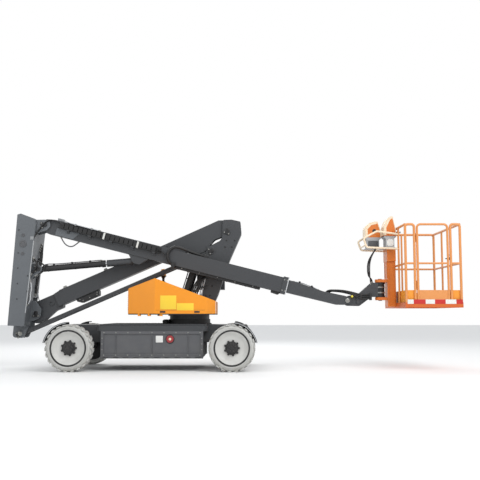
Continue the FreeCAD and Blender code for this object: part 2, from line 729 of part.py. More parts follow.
def make_lower_boom():
    # Box beam, tongue at the post, twin elbow plates with a cap at the tower, two pin bosses.
    lane = lower_lane
    length = lower_boom_length
    elbow_start = length - elbow_length
    top = lower_beam_top
    outer = lane.plate([(300, lower_beam_bottom), (elbow_start, lower_beam_bottom),
                        (elbow_start, top), (420, top, 60), (300, top - 20)],
                       lane_y - lower_beam_half, lane_y + lower_beam_half)
    w = lower_beam_wall
    inner = lane.plate([(360, lower_beam_bottom + w), (elbow_start + 1, lower_beam_bottom + w),
                        (elbow_start + 1, top - w), (420, top - w, 60), (360, top - 10 - w)],
                       lane_y - lower_beam_half + w, lane_y + lower_beam_half - w)
    tongue = lane.plate([(-60, 145, 70), (-128, 40, 90), (-128, -60, 60), (-60, -130, 60), (60, -130, 80),
                         (230, -70, 80), (345, -70, 20), (360, lower_beam_bottom), (360, top - 10),
                         (300, 145, 40)],
                        lane_y - tongue_half, lane_y + tongue_half)
    lug_foot = -lower_lug_drop - 42
    elbow = [(elbow_start, lower_beam_bottom), (lower_lug_s - 190, lower_beam_bottom, 40),
             (lower_lug_s - 66, lug_foot, 36), (lower_lug_s + 54, lug_foot, 36),
             (length - 205, -40, 80), (length - 80, -48, 60), (length - 40, -84, 40),
             (length + 40, -84, 60), (length + 124, 10, 60),
             (length + 117, 107, 40), (length - 57, 177, 30), (elbow_start, lower_beam_top)]
    shapes = [outer.cut(inner), tongue]
    for sign in (-1, 1):
        ya = lane_y + sign * lower_beam_half
        yb = lane_y + sign * (lower_beam_half - elbow_plate)
        shapes.append(lane.plate(elbow, min(ya, yb), max(ya, yb)))
    cap = [(elbow_start, top - 14), (elbow_start, top), (length - 57, 177), (length + 90, 117),
           (length + 82, 105), (length - 60, 162)]
    shapes.append(lane.plate(cap, lane_y - lower_beam_half, lane_y + lower_beam_half))
    whole = fuse(shapes)
    bore = pin_radius + running_clearance
    whole = whole.cut(lane.eye(length, 0, bore, lane_y - 200, lane_y + 200))
    whole = whole.cut(lane.eye(0, 0, bore, lane_y - 200, lane_y + 200))
    return whole


def make_boom_box():
    # Dark hose and valve block slung under the lower boom.
    return lower_lane.plate([(545, lower_beam_bottom), (545, -70, 10), (600, -112, 14), (850, -112, 14),
                             (870, -60, 10), (870, lower_beam_bottom)], lane_y - 60, lane_y + 60)


def make_tie_rod(side):
    # One flat bar with an eye at each end; the left one also carries the cross tubes.
    ya = lane_y + side * bar_inner
    yb = lane_y + side * (bar_inner + bar_width)
    y0 = min(ya, yb)
    y1 = max(ya, yb)
    half = bar_depth / 2.0
    flat = tie_lane.plate([(0, -half), (lower_boom_length, -half), (lower_boom_length, half), (0, half)],
                          y0, y1)
    shapes = [flat, tie_lane.eye(0, 0, 42, y0, y1), tie_lane.eye(lower_boom_length, 0, 42, y0, y1)]
    if side > 0:
        for s in (760.0, 1310.0, 1820.0):
            shapes.append(tie_lane.eye(s, 0, 17, lane_y - bar_inner, lane_y + bar_inner))
    whole = fuse(shapes)
    bore = pin_radius + running_clearance
    for s in (0.0, lower_boom_length):
        whole = whole.cut(tie_lane.eye(s, 0, bore, y0 - 1, y1 + 1))
    return whole


def make_barrel(lane, y, closed, outer, bore, rod, start, end, eye_radius, eye_half):
    # Base eye, tube with its bottom and the gland that the rod slides through.
    gland = 30.0
    base = lane.eye(0, 0, eye_radius, y - eye_half, y + eye_half)
    neck = lane.round_bar(0, start + 20, 0, outer * 0.8, y)
    tube = lane.round_bar(start, end, 0, outer, y)
    cavity = lane.round_bar(start + 22, end - gland, 0, bore, y)
    throat = lane.round_bar(start + 22, end + 1, 0, rod + running_clearance, y)
    collar = lane.round_bar(end - gland - 14, end, 0, outer + 6, y)
    port = lane.eye(start + 30, outer * 0.8, 15, y - 20, y + 20)
    whole = fuse([base, neck, tube, collar, port]).cut(cavity).cut(throat)
    return whole.cut(lane.eye(0, 0, pin_radius + running_clearance, y - 200, y + 200))


def make_lower_barrel():
    end = lower_cyl_closed - 62
    return make_barrel(lower_cyl_lane, lane_y, lower_cyl_closed, lower_barrel_radius, lower_bore_radius,
                       lower_rod_radius, 46, end, 36, lower_barrel_radius)


def make_lower_rod():
    # Piston, rod and the eye that hangs between the elbow plates.
    lane = lower_cyl_lane
    piston = lane.round_bar(69, 69 + 32, 0, lower_bore_radius - running_clearance, lane_y)
    rod = lane.round_bar(80, lower_cyl_closed, 0, lower_rod_radius, lane_y)
    eye = lane.eye(lower_cyl_closed, 0, 44, lane_y - 52, lane_y + 52)
    return fuse([piston, rod, eye]).cut(lane.eye(lower_cyl_closed, 0, pin_radius, lane_y - 200, lane_y + 200))


def make_post():
    # Leaning box post: closed head, fork below for the lower boom and the tie rods, lugs in front.
    lane = post_lane
    w = post_wall
    rise = post_top - post_bottom

    def rear_at(n):
        return post_rear_low + (post_rear_top - post_rear_low) * (n - post_bottom) / rise

    def front_at(n):
        return post_front_low + (post_front_top - post_front_low) * (n - post_bottom) / rise

    outline = [(rear_at(post_bottom), post_bottom, 10), (front_at(post_bottom), post_bottom, 10),
               (front_at(post_top - 66), post_top - 66, 16), (rear_at(post_top) + 44, post_top, 12),
               (rear_at(post_top), post_top - 14, 10)]
    body = lane.plate(outline, post_right_y, post_left_y)
    sill = post_fork_top + 40
    hollow = lane.plate([(rear_at(sill) + w, sill), (front_at(sill) - w, sill),
                         (front_at(post_top - 66) - w, post_top - 66 - w),
                         (rear_at(post_top) + 48, post_top - w - 4),
                         (rear_at(post_top) + w, post_top - 20 - w)],
                        post_right_y + w, post_left_y - w)
    fork_in = post_gap / 2.0
    fork_out = fork_in + post_plate
    slot = lane.plate([(-400, post_bottom - 5), (100, post_bottom - 5), (100, post_fork_top),
                       (-400, post_fork_top)], lane_y - fork_in, lane_y + fork_in)
    side_room = lane.plate([(rear_at(post_bottom) + w, post_bottom - 5), (front_at(post_bottom) - w,
                            post_bottom - 5), (front_at(sill) - w, sill + 5), (rear_at(sill) + w, sill + 5)],
                           post_right_y + w, lane_y - fork_out)
    shapes = [body.cut(hollow).cut(slot).cut(side_room)]
    foot_x = tie_rear_x
    foot_z = tie_rear_z
    ears = [(rear_at(200) + 60, 200), (rear_at(-150) + 60, -150), (-20, -100, 60), (58, -60, 60),
            (66, 60, 60), (-10, 150, 60)]
    for sign in (-1, 1):
        ya = lane_y + sign * fork_in
        yb = lane_y + sign * fork_out
        y0 = min(ya, yb)
        y1 = max(ya, yb)
        shapes.append(prism([(foot_x - 88, foot_z + 110), (foot_x - 100, foot_z - 50, 40),
                             (foot_x + 44, foot_z - 58, 40), (foot_x + 118, foot_z + 110)], y0, y1))
        shapes.append(lane.plate(ears, y0, y1))
        boss = lane_y + sign * (tongue_half + 2)
        shapes.append(disc(post_pin_x, post_pin_z, 46, min(ya, boss), max(ya, boss)))
        head = lane_y + sign * (fork_out + pin_head)
        for x, z in ((post_pin_x, post_pin_z), (foot_x, foot_z)):
            shapes.append(disc(x, z, pin_radius + 15, min(yb, head), max(yb, head)))
    shapes.append(disc(post_pin_x, post_pin_z, pin_radius, lane_y - fork_out, lane_y + fork_out))
    shapes.append(disc(foot_x, foot_z, pin_radius, lane_y - fork_out, lane_y + fork_out))
    pairs = ((upper_pin_x, upper_pin_z, upper_tube_width / 2.0, 70, 84),
             (upper_cyl_base_x, upper_cyl_base_z, upper_barrel_radius, 46, 96))
    for x, z, half, nose, root in pairs:
        face = lane.at(front_at(z - post_pin_z), z - post_pin_z)[0] - 16
        inner = half + side_clearance
        outer = inner + 18
        for sign in (-1, 1):
            ya = upper_lane_y + sign * inner
            yb = upper_lane_y + sign * outer
            shapes.append(prism([(face, z + root * 0.8), (face, z - root * 1.4),
                                 (x + nose * 0.4, z - nose, 30), (x + nose, z - nose * 0.3, 30),
                                 (x + nose, z + nose * 0.6, 30),
                                 (x, z + nose, 30)], min(ya, yb), max(ya, yb)))
        reach = outer + pin_head
        shapes.append(disc(x, z, pin_radius, upper_lane_y - reach, upper_lane_y + reach))
    strip = lane.plate([(front_at(post_bottom), post_bottom + 4),
                        (front_at(post_bottom) + 8, post_bottom + 10),
                        (front_at(post_top - 120) + 8, post_top - 120),
                        (front_at(post_top - 120), post_top - 112)],
                       post_right_y + 4, post_right_y + 40)
    shapes.append(strip)
    return fuse(shapes)


def make_upper_tube():
    # Square tube with its root bosses, the cylinder's lug plates and the wear pads at the mouth.
    lane = upper_lane
    half_w = upper_tube_width / 2.0
    half_d = upper_tube_depth / 2.0
    y0 = upper_lane_y - half_w
    y1 = upper_lane_y + half_w
    w = upper_tube_wall
    root = lane.plate([(-78, 30, 70), (-70, -66, 60), (60, -half_d, 60), (200, -half_d), (200, half_d),
                       (110, half_d, 60), (0, 80, 60)], y0, y1)
    tube = lane.plate([(150, -half_d), (upper_tube_length, -half_d), (upper_tube_length, half_d),
                       (150, half_d)], y0, y1)
    bore = lane.plate([(330, -half_d + w), (upper_tube_length + 1, -half_d + w),
                       (upper_tube_length + 1, half_d - w), (330, half_d - w)], y0 + w, y1 - w)
    shapes = [fuse([root, tube]).cut(bore)]
    lug_s = upper_lug_s
    lug_n = -upper_lug_drop
    for sign in (-1, 1):
        ya = upper_lane_y + sign * (upper_sleeve_radius + side_clearance)
        yb = upper_lane_y + sign * (upper_sleeve_radius + side_clearance + 16)
        shapes.append(lane.plate([(lug_s - 130, -half_d + 2), (lug_s - 40, lug_n - 44, 40),
                                  (lug_s + 44, lug_n - 44, 40), (lug_s + 150, -half_d + 2)],
                                 min(ya, yb), max(ya, yb)))
    collar_out = lane.plate([(upper_tube_length - 70, -half_d - 12), (upper_tube_length, -half_d - 12),
                             (upper_tube_length, half_d + 12), (upper_tube_length - 70, half_d + 12)],
                            y0 - 12, y1 + 12)
    collar_in = lane.plate([(upper_tube_length - 71, -half_d + 1), (upper_tube_length + 1, -half_d + 1),
                            (upper_tube_length + 1, half_d - 1), (upper_tube_length - 71, half_d - 1)],
                           y0 + 1, y1 - 1)
    shapes.append(collar_out.cut(collar_in))
    whole = fuse(shapes)
    return whole.cut(lane.eye(0, 0, pin_radius + running_clearance, y0 - 100, y1 + 100))


def make_boom_pads():
    # Wear pads round the mouth that the fly runs in, and the lump of the lower pad outside.
    lane = upper_lane
    half_w = upper_tube_width / 2.0 - upper_tube_wall
    half_d = upper_tube_depth / 2.0 - upper_tube_wall
    fly_w = fly_width / 2.0 + pad_clearance
    fly_d = fly_depth / 2.0 + pad_clearance
    shapes = []
    for start in (upper_tube_length - pad_length, upper_tube_length - 900):
        end = start + pad_length
        ring = lane.plate([(start, -half_d), (end, -half_d), (end, half_d), (start, half_d)],
                          upper_lane_y - half_w, upper_lane_y + half_w)
        hole = lane.plate([(start - 1, -fly_d), (end + 1, -fly_d), (end + 1, fly_d), (start - 1, fly_d)],
                          upper_lane_y - fly_w, upper_lane_y + fly_w)
        shapes.append(ring.cut(hole))
    under = upper_tube_depth / 2.0
    shapes.append(lane.plate([(upper_tube_length - 190, -under), (upper_tube_length - 190, -under - 30, 10),
                              (upper_tube_length - 92, -under - 38, 10),
                              (upper_tube_length - 72, -under - 13), (upper_tube_length - 72, -under)],
                             upper_lane_y - 52, upper_lane_y + 52))
    return Part.Compound(shapes)


def make_hose_carrier():
    # Channel along the tube's right side, its links as a row of short boxes.
    lane = upper_lane
    y1 = upper_lane_y - upper_tube_width / 2.0
    y0 = y1 - 58
    a, b = carrier_start, carrier_end
    shapes = [lane.plate([(a, 6), (b, 6), (b, 14), (a, 14)], y0, y1),
              lane.plate([(a, 6), (b, 6), (b, 86), (a, 86)], y1 - 6, y1)]
    pitch = 62.0
    count = int((b - a - 40) / pitch)
    for i in range(count):
        s = a + 10 + i * pitch
        shapes.append(lane.plate([(s, 10), (s + pitch - 8, 10), (s + pitch - 8, 78, 8), (s, 78, 8)],
                                 y0 + 6, y1 - 2))
    return fuse(shapes)


def make_boom_tray():
    # Tray under the forward half of the tube for the hoses to the basket.
    lane = upper_lane
    half_d = upper_tube_depth / 2.0
    b = upper_tube_length - tray_end_gap
    a = b - tray_length
    outer = lane.plate([(a, -half_d), (a, -half_d - 34, 12), (b, -half_d - 34, 12), (b, -half_d)],
                       upper_lane_y - 54, upper_lane_y + 54)
    inner = lane.plate([(a + 6, -half_d - 1), (a + 6, -half_d - 28), (b - 6, -half_d - 28),
                        (b - 6, -half_d - 1)], upper_lane_y - 48, upper_lane_y + 48)
    return outer.cut(inner)


def make_fly():
    # Inner tube that slides in the main one, tapering at its nose to the levelling pin.
    lane = upper_lane
    half_w = fly_width / 2.0
    half_d = fly_depth / 2.0
    y0 = upper_lane_y - half_w
    y1 = upper_lane_y + half_w
    w = fly_wall
    tube = lane.plate([(fly_start, -half_d), (fly_taper, -half_d), (fly_taper, half_d), (fly_start, half_d)],
                      y0, y1)
    bore = lane.plate([(fly_start - 1, -half_d + w), (fly_taper - 30, -half_d + w),
                       (fly_taper - 30, half_d - w), (fly_start - 1, half_d - w)], y0 + w, y1 - w)
    px, pz = level_pin_x, level_pin_z
    reach = math.hypot(px - upper_pin_x, pz - upper_pin_z)
    nose = lane.plate([(fly_taper - 10, -half_d), (reach - 120, -76, 60), (reach - 20, -52, 50),
                       (reach + 52, -20, 40), (reach + 52, 50, 40), (reach - 40, 62, 60),
                       (reach - 340, 50, 120), (fly_taper - 10, half_d)], y0, y1)
    whole = fuse([tube.cut(bore), nose])
    mouth = prism([(px - 96, pz - 160), (px + 200, pz - 160), (px + 200, pz + 160), (px - 96, pz + 160)],
                  upper_lane_y - 34, upper_lane_y + 34)
    whole = whole.cut(mouth)
    pin = disc(px, pz, pin_radius, y0 - pin_head, y1 + pin_head)
    return fuse([whole, pin])


def make_upper_barrel():
    end = 872.0
    return make_barrel(upper_cyl_lane, upper_lane_y, upper_cyl_closed, upper_barrel_radius,
                       upper_bore_radius, upper_rod_radius, 44, end, 42, upper_barrel_radius)


def make_upper_rod():
    # Piston, rod, the thick end sleeve and the eye between the tube's lugs.
    lane = upper_cyl_lane
    closed = upper_cyl_closed
    piston = lane.round_bar(67, 67 + 28, 0, upper_bore_radius - running_clearance, upper_lane_y)
    rod = lane.round_bar(80, closed, 0, upper_rod_radius, upper_lane_y)
    sleeve = lane.round_bar(closed - 70 - upper_sleeve_length, closed - 70, 0, upper_sleeve_radius,
                            upper_lane_y)
    neck = lane.round_bar(closed - 72, closed - 20, 0, 34, upper_lane_y)
    eye = lane.eye(closed, 0, 37, upper_lane_y - 48, upper_lane_y + 48)
    return fuse([piston, rod, sleeve, neck, eye]).cut(lane.eye(closed, 0, pin_radius, -400, 100))


def make_platform_bracket():
    # Tongue in the fly's fork and two cheeks that carry the rotator.
    px, pz = level_pin_x, level_pin_z
    near = rotator_x - rotator_radius + 14
    tongue = prism([(px - 62, pz - 10, 50), (px - 10, pz - 66, 50), (px + 160, pz - 70, 40),
                    (near - 76, rotator_bottom + 4, 20), (near, rotator_bottom + 4),
                    (near, rotator_top - 4), (near - 70, rotator_top - 4, 30), (px + 190, pz + 90, 60),
                    (px + 10, pz + 64, 50)], upper_lane_y - 30, upper_lane_y + 30)
    cheeks = []
    for sign in (-1, 1):
        ya = upper_lane_y + sign * 30
        yb = upper_lane_y + sign * 48
        cheeks.append(prism([(px + 120, pz - 50, 20), (near - 80, rotator_bottom + 8, 20),
                             (near + 10, rotator_bottom + 8), (near + 10, rotator_top - 8),
                             (near - 76, rotator_top - 8, 20), (px + 120, pz + 60, 20)],
                            min(ya, yb), max(ya, yb)))
    whole = fuse([tongue] + cheeks)
    whole = whole.cut(disc(px, pz, pin_radius + running_clearance, upper_lane_y - 100, upper_lane_y + 100))
    room = upright(rotator_x, upper_lane_y, rotator_radius, rotator_bottom - 50, rotator_top + 50)
    return whole.cut(room)


def make_rotator():
    # Helical rotary actuator standing between the basket's two arms.
    body = upright(rotator_x, upper_lane_y, rotator_radius, rotator_bottom, rotator_top)
    shaft = upright(rotator_x, upper_lane_y, rotator_shaft, rotator_bottom - 46, rotator_top + 46)
    rings = [upright(rotator_x, upper_lane_y, rotator_radius + 5, rotator_bottom, rotator_bottom + 22),
             upright(rotator_x, upper_lane_y, rotator_radius + 5, rotator_top - 22, rotator_top)]
    back = [r.common(box(rotator_x - 20, rotator_x + 100, -400, 100, 0, 2000)) for r in rings]
    return fuse([body, shaft] + back)


def make_basket_arms():
    # Upper and lower arm of the rotator, the column and its head plate on the basket's rear.
    shapes = []
    column_x = rotator_x + 82
    foot = basket_bottom + 15
    head = foot + column_height
    for z0, z1 in ((rotator_bottom - 38, rotator_bottom - running_clearance),
                   (rotator_top + running_clearance, rotator_top + 38)):
        shapes.append(slab([(rotator_x - 66, upper_lane_y - 66, 60), (rotator_x + 70, upper_lane_y - 66, 5),
                            (basket_rear_x - 20, upper_lane_y - 96), (basket_rear_x - 20, upper_lane_y + 96),
                            (rotator_x + 70, upper_lane_y + 66, 5), (rotator_x - 66, upper_lane_y + 66, 60)],
                           z0, z1))
    column = box(column_x, basket_rear_x, upper_lane_y - 100, upper_lane_y + 100, foot, head)
    hollow = box(column_x + 10, basket_rear_x + 1, upper_lane_y - 88, upper_lane_y + 88, foot + 12, head - 12)
    shapes.append(column.cut(hollow))
    for z in (foot + 180, foot + 500):
        shapes.append(box(column_x + 5, basket_rear_x, upper_lane_y - 95, upper_lane_y + 95, z, z + 10))
    shapes.append(box(column_x - 6, basket_rear_x, upper_lane_y - 125, upper_lane_y + 125,
                      head - 170, head - 4))
    whole = fuse(shapes)
    return whole.cut(upright(rotator_x, upper_lane_y, rotator_shaft + running_clearance,
                                   rotator_bottom - 200, rotator_top + 200))


basket_right = upper_lane_y - basket_half_width
basket_left = upper_lane_y + basket_half_width
rail_rear = basket_rear_x + rail_radius
rail_front = basket_front_x - rail_radius
rail_right = basket_right + rail_radius
rail_left = basket_left - rail_radius
hinge_x = gate_rear_x + rail_radius + gate_clearance / 2.0
hinge_y = rail_right + 25.0
hinge_radius = 8.0
hinge_pin = 4.0
hinge_heights = (basket_floor_z + 180, basket_floor_z + 770)

shelf_z = basket_floor_z + console_height
hood_foot_z = shelf_z + 153

# Control boxes: rear x, front x, right y, left y, hood's foot z, hood's top z
console_units = (
    (basket_rear_x - 160, basket_rear_x - 4, upper_lane_y - 190, upper_lane_y - 2, hood_foot_z,
     hood_foot_z + 259),
    (basket_rear_x - 370, basket_rear_x - 165, upper_lane_y + 2, upper_lane_y + 190, hood_foot_z,
     hood_foot_z + 214),
)


def make_basket_floor():
    # Frame of channels, cross ribs and the open-mesh plate, with slots right through.
    x0, x1 = basket_rear_x, basket_front_x
    y0, y1 = basket_right, basket_left
    edge = 46.0
    rim = box(x0, x1, y0, y1, basket_bottom, basket_floor_z).cut(
        box(x0 + edge, x1 - edge, y0 + edge, y1 - edge, basket_bottom - 1, basket_floor_z + 1))
    shapes = [rim]
    for i in range(1, 6):
        y = y0 + (y1 - y0) * i / 6.0
        shapes.append(box(x0 + 20, x1 - 20, y - 16, y + 16, basket_bottom + 12, basket_floor_z - 6))
    sheet = box(x0 + 20, x1 - 20, y0 + 20, y1 - 20, basket_floor_z - 8, basket_floor_z)
    shapes.append(sheet)
    return fuse(shapes)


def make_toeboards():
    # Kick plates on the inner side of the posts, open where the gate swings.
    top = basket_floor_z + toeboard_height
    inner = rail_radius - 3
    outer = inner + 4.0
    x0, x1 = rail_rear + inner, rail_front - inner
    y0, y1 = rail_right + inner, rail_left - inner
    g0, g1 = gate_rear_x + rail_radius, gate_front_x - rail_radius
    plates = [box(x0, x1, y1 - 4, y1, basket_floor_z, top),
              box(x1 - 4, x1, rail_right + outer, y1 - 4, basket_floor_z, top),
              box(x0, x0 + 4, rail_right + outer, y1 - 4, basket_floor_z, top),
              box(x0, g0, y0, y0 + 4, basket_floor_z, top), box(g1, x1, y0, y0 + 4, basket_floor_z, top)]
    corners = [upright(x, y, rail_radius, basket_floor_z, top)
               for x, y in ((rail_rear, rail_left), (rail_front, rail_left), (rail_rear, rail_right),
                            (rail_front, rail_right), (gate_rear_x, rail_right), (gate_front_x, rail_right))]
    left = fuse([plates[0], plates[1], plates[4]])
    right = fuse([plates[2], plates[3]])
    whole = fuse([left, right])
    for corner in corners:
        whole = whole.cut(corner)
    return whole


def side_frame(x0, x1, y, uprights):
    # A side's top rail bent down into its end posts, its mid rail and the inner posts.
    foot = basket_floor_z
    hoop = tube_path([(x0, y, foot), (x0, y, top_rail_z), (x1, y, top_rail_z), (x1, y, foot)],
                     rail_radius, rail_bend)
    shapes = [hoop]
    shapes.append(bar((x0, y, mid_rail_z), (x1, y, mid_rail_z), rail_radius - 3))
    for x in uprights:
        shapes.append(bar((x, y, foot), (x, y, top_rail_z), rail_radius - 3))
    return fuse(shapes)


def make_side_left():
    span = rail_front - rail_rear
    return side_frame(rail_rear, rail_front, rail_left, (rail_rear + span / 3.0, rail_rear + span * 2 / 3.0))


def make_side_right():
    # Entry side: two short frames, one each side of the gate, under one top rail.
    y = rail_right
    foot = basket_floor_z
    shapes = []
    hoop = tube_path([(rail_rear, y, foot), (rail_rear, y, top_rail_z), (gate_rear_x, y, top_rail_z),
                      (gate_rear_x, y, foot)], rail_radius, rail_bend)
    shapes.append(hoop)
    shapes.append(bar((rail_rear, y, mid_rail_z), (gate_rear_x, y, mid_rail_z), rail_radius - 3))
    other = tube_path([(gate_front_x, y, foot), (gate_front_x, y, top_rail_z), (rail_front, y, top_rail_z),
                       (rail_front, y, foot)], rail_radius, rail_bend)
    shapes.append(other)
    shapes.append(bar((gate_front_x, y, mid_rail_z), (rail_front, y, mid_rail_z), rail_radius - 3))
    for z in hinge_heights:
        for z0 in (z - 26, z + 60 + running_clearance):
            z1 = z0 + 26 - running_clearance
            shapes.append(upright(hinge_x, hinge_y, hinge_radius, z0, z1))
            shapes.append(slab([(hinge_x, hinge_y + 5), (gate_rear_x, y + 12), (gate_rear_x, y + 4),
                                (hinge_x, hinge_y - 5)], z0, z1))
        shapes.append(upright(hinge_x, hinge_y, hinge_pin, z - 20, z + 80))
    return fuse(shapes)


def make_gate():
    # Tubular gate between the entry posts with its own kick plate, hinged on its rear edge.
    y = rail_right
    r = rail_radius - 2
    x0 = gate_rear_x + rail_radius + gate_clearance + r
    x1 = gate_front_x - rail_radius - gate_clearance - r
    low = basket_floor_z + 28
    high = top_rail_z
    hoop = tube_path([(x0, y, low), (x0, y, high), (x1, y, high), (x1, y, low)], r, 45)
    shapes = [hoop, bar((x0, y, low), (x1, y, low), r), bar((x0, y, mid_rail_z), (x1, y, mid_rail_z), r - 2),
              box(x0, x1, y - 2, y + 2, low, basket_floor_z + toeboard_height)]
    for x in (x0, x1):
        shapes.append(Part.makeSphere(r, FreeCAD.Vector(x, y, low)))
    for z in hinge_heights:
        shapes.append(upright(hinge_x, hinge_y, hinge_radius, z, z + 60))
        shapes.append(slab([(hinge_x, hinge_y - 5), (x0, y + 4), (x0, y + 10), (hinge_x, hinge_y + 5)],
                           z, z + 60))
    whole = fuse(shapes)
    bore = upright(hinge_x, hinge_y, hinge_pin + running_clearance, low, high)
    return whole.cut(bore)


def end_frame(x, posts):
    # A cross side: top and mid rail between the side hoops, with its own posts.
    y0 = rail_right + rail_radius
    y1 = rail_left - rail_radius
    shapes = [bar((x, y0, top_rail_z), (x, y1, top_rail_z), rail_radius),
              bar((x, y0, mid_rail_z), (x, y1, mid_rail_z), rail_radius - 3)]
    for y in posts:
        shapes.append(bar((x, y, basket_floor_z), (x, y, top_rail_z), rail_radius - 3))
    return fuse(shapes)


def make_front_side():
    third = (rail_left - rail_right) / 3.0
    return end_frame(rail_front, (rail_right + third, rail_right + 2 * third))


def make_rear_side():
    return end_frame(rail_rear, (upper_lane_y - console_half, upper_lane_y + console_half))


def make_console_guard():
    # Two hoops from the rear rail round the console, joined by cross bars.
    r = 13.0
    shapes = []
    x_out = basket_rear_x - guard_reach
    x_in = rail_rear
    low = shelf_z - 18
    high = shelf_z + 172
    for y in (upper_lane_y - console_half, upper_lane_y + console_half):
        shapes.append(tube_path([(x_in, y, high), (x_out + 175, y, high + 37), (x_out, y, high - 55),
                                 (x_out + 40, y, shelf_z), (x_in, y, low)], r, 34))
    for x, z in ((x_out + 30, shelf_z + 31), (x_out + 205, shelf_z - 11)):
        shapes.append(bar((x, upper_lane_y - console_half, z), (x, upper_lane_y + console_half, z), r - 2))
    whole = fuse(shapes)
    for y in (upper_lane_y - console_half, upper_lane_y + console_half):
        whole = whole.cut(upright(rail_rear, y, rail_radius - 3, low - 100, high + 60))
        whole = whole.cut(box(rail_rear, rail_rear + 40, y - 30, y + 30, low - 50, high + 60))
    return whole


def make_console_box():
    # Two control boxes on the guard's shelf, the outer one further from the basket.
    top = shelf_z + 7
    shelf = box(basket_rear_x - 370, basket_rear_x - 18, upper_lane_y - 190, upper_lane_y + 190, shelf_z, top)
    shapes = [shelf]
    for x0, x1, y0, y1, z0, z1 in console_units:
        shapes.append(prism([(x0 + 24, top), (x1 - 24, top), (x1 - 24, z0 - 34), (x1, z0 - 14), (x1, z0),
                             (x0, z0), (x0, z0 - 14), (x0 + 24, z0 - 34)], y0, y1))
    return fuse(shapes)


def make_console_hoods():
    # Sloped weather hoods over the two control boxes.
    shapes = []
    for x0, x1, y0, y1, z0, z1 in console_units:
        shapes.append(prism([(x0, z0), (x1, z0), (x1, z0 + 60, 10), (x1 - 40, z1, 16),
                             (x0 + 60, z1 - 20, 20), (x0, z0 + 120, 20)], y0, y1))
    return Part.Compound(shapes)


save("chassis_frame", make_chassis())
save("side_cover_left", make_side_cover(1))
save("side_cover_right", make_side_cover(-1))
save("front_axle", make_front_axle())
save("rear_axle", make_rear_axle())
save("slew_ring", make_slew_ring())
for name, side in (("left", 1), ("right", -1)):
    save("rear_guard_" + name, make_rear_guard(side))
    save("knuckle_" + name, make_knuckle(side))
    for end, x in (("front", front_x), ("rear", rear_x)):
        save("tyre_%s_%s" % (end, name), make_tyre(x, side))
        save("rim_%s_%s" % (end, name), make_rim(x, side))
    save("cowl_" + name, make_cowl(side))
    save("tie_rod_" + name, make_tie_rod(side))
save("turntable", make_turntable())
save("tower", make_tower())
save("power_blocks", make_power_blocks())
save("counterweight", make_counterweight())
save("beacon", make_beacon())
save("valve_box", make_valve_box())
save("lower_boom", make_lower_boom())
save("boom_box", make_boom_box())
save("lower_barrel", make_lower_barrel())
save("lower_rod", make_lower_rod())
save("post", make_post())
save("upper_tube", make_upper_tube())
save("boom_pads", make_boom_pads())
save("hose_carrier", make_hose_carrier())
save("boom_tray", make_boom_tray())
save("fly", make_fly())
save("upper_barrel", make_upper_barrel())
save("upper_rod", make_upper_rod())
save("platform_bracket", make_platform_bracket())
save("rotator", make_rotator())
save("basket_arms", make_basket_arms())
save("basket_floor", make_basket_floor())
save("toeboards", make_toeboards())
save("side_left", make_side_left())
save("side_right", make_side_right())
save("gate", make_gate())
save("front_side", make_front_side())
save("rear_side", make_rear_side())
save("console_guard", make_console_guard())
save("console_box", make_console_box())
save("console_hoods", make_console_hoods())

whole_box = FreeCAD.BoundBox()
for shape in parts.values():
    whole_box.add(shape.optimalBoundingBox(False))
middle = FreeCAD.Vector(-whole_box.Center.x, -whole_box.Center.y, -whole_box.ZMin)
print("moved by %.3f %.3f %.3f" % tuple(middle))
for name, shape in parts.items():
    shape.translate(middle)
    shape.exportStep("parts/" + name + ".step")
    print("%-20s solids %d  valid %s  litres %.2f" % (name, len(shape.Solids), shape.isValid(),
                                                    shape.Volume / 1e6))
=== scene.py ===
import bpy
import bmesh
import json
import math
from mathutils import Matrix, Vector
from mathutils.bvhtree import BVHTree


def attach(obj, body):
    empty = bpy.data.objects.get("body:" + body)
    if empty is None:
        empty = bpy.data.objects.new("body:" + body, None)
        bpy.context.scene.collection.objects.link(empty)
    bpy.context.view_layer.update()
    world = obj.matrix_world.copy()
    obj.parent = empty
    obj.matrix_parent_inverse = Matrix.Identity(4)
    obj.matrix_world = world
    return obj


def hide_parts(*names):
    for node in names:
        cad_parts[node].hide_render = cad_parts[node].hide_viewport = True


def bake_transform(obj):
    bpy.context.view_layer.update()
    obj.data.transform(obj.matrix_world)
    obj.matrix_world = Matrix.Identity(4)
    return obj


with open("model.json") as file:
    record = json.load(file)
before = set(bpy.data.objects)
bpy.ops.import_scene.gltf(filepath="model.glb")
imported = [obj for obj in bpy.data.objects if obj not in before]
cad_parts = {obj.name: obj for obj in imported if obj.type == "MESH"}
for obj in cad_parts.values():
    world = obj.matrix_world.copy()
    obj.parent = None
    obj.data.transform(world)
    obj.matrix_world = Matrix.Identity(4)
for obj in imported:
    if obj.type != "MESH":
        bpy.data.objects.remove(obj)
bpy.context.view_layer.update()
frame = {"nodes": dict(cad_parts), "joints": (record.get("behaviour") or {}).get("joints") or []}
scene = bpy.context.scene
nodes = frame["nodes"]
pins = {j["name"]: Vector(j["pos_m"]) for j in frame["joints"] if "pos_m" in j}
axes = {j["name"]: Vector(j["axis"]) for j in frame["joints"]}
print("frame loaded:", len(nodes), "nodes")

# The camera stands square to the machine's right side, a little below the platform's floor.
cameraSetup = {"place": (0.136, -10.0, 0.70), "pitch": 5.7, "lens": 56.0}

cameraData = bpy.data.cameras.new("viewCamera")
cameraData.lens = cameraSetup["lens"]
cameraData.sensor_width = 36.0
camera = bpy.data.objects.new("viewCamera", cameraData)
camera.location = cameraSetup["place"]
camera.rotation_euler = (math.radians(90.0 + cameraSetup["pitch"]), 0.0, 0.0)
scene.collection.objects.link(camera)
scene.camera = camera

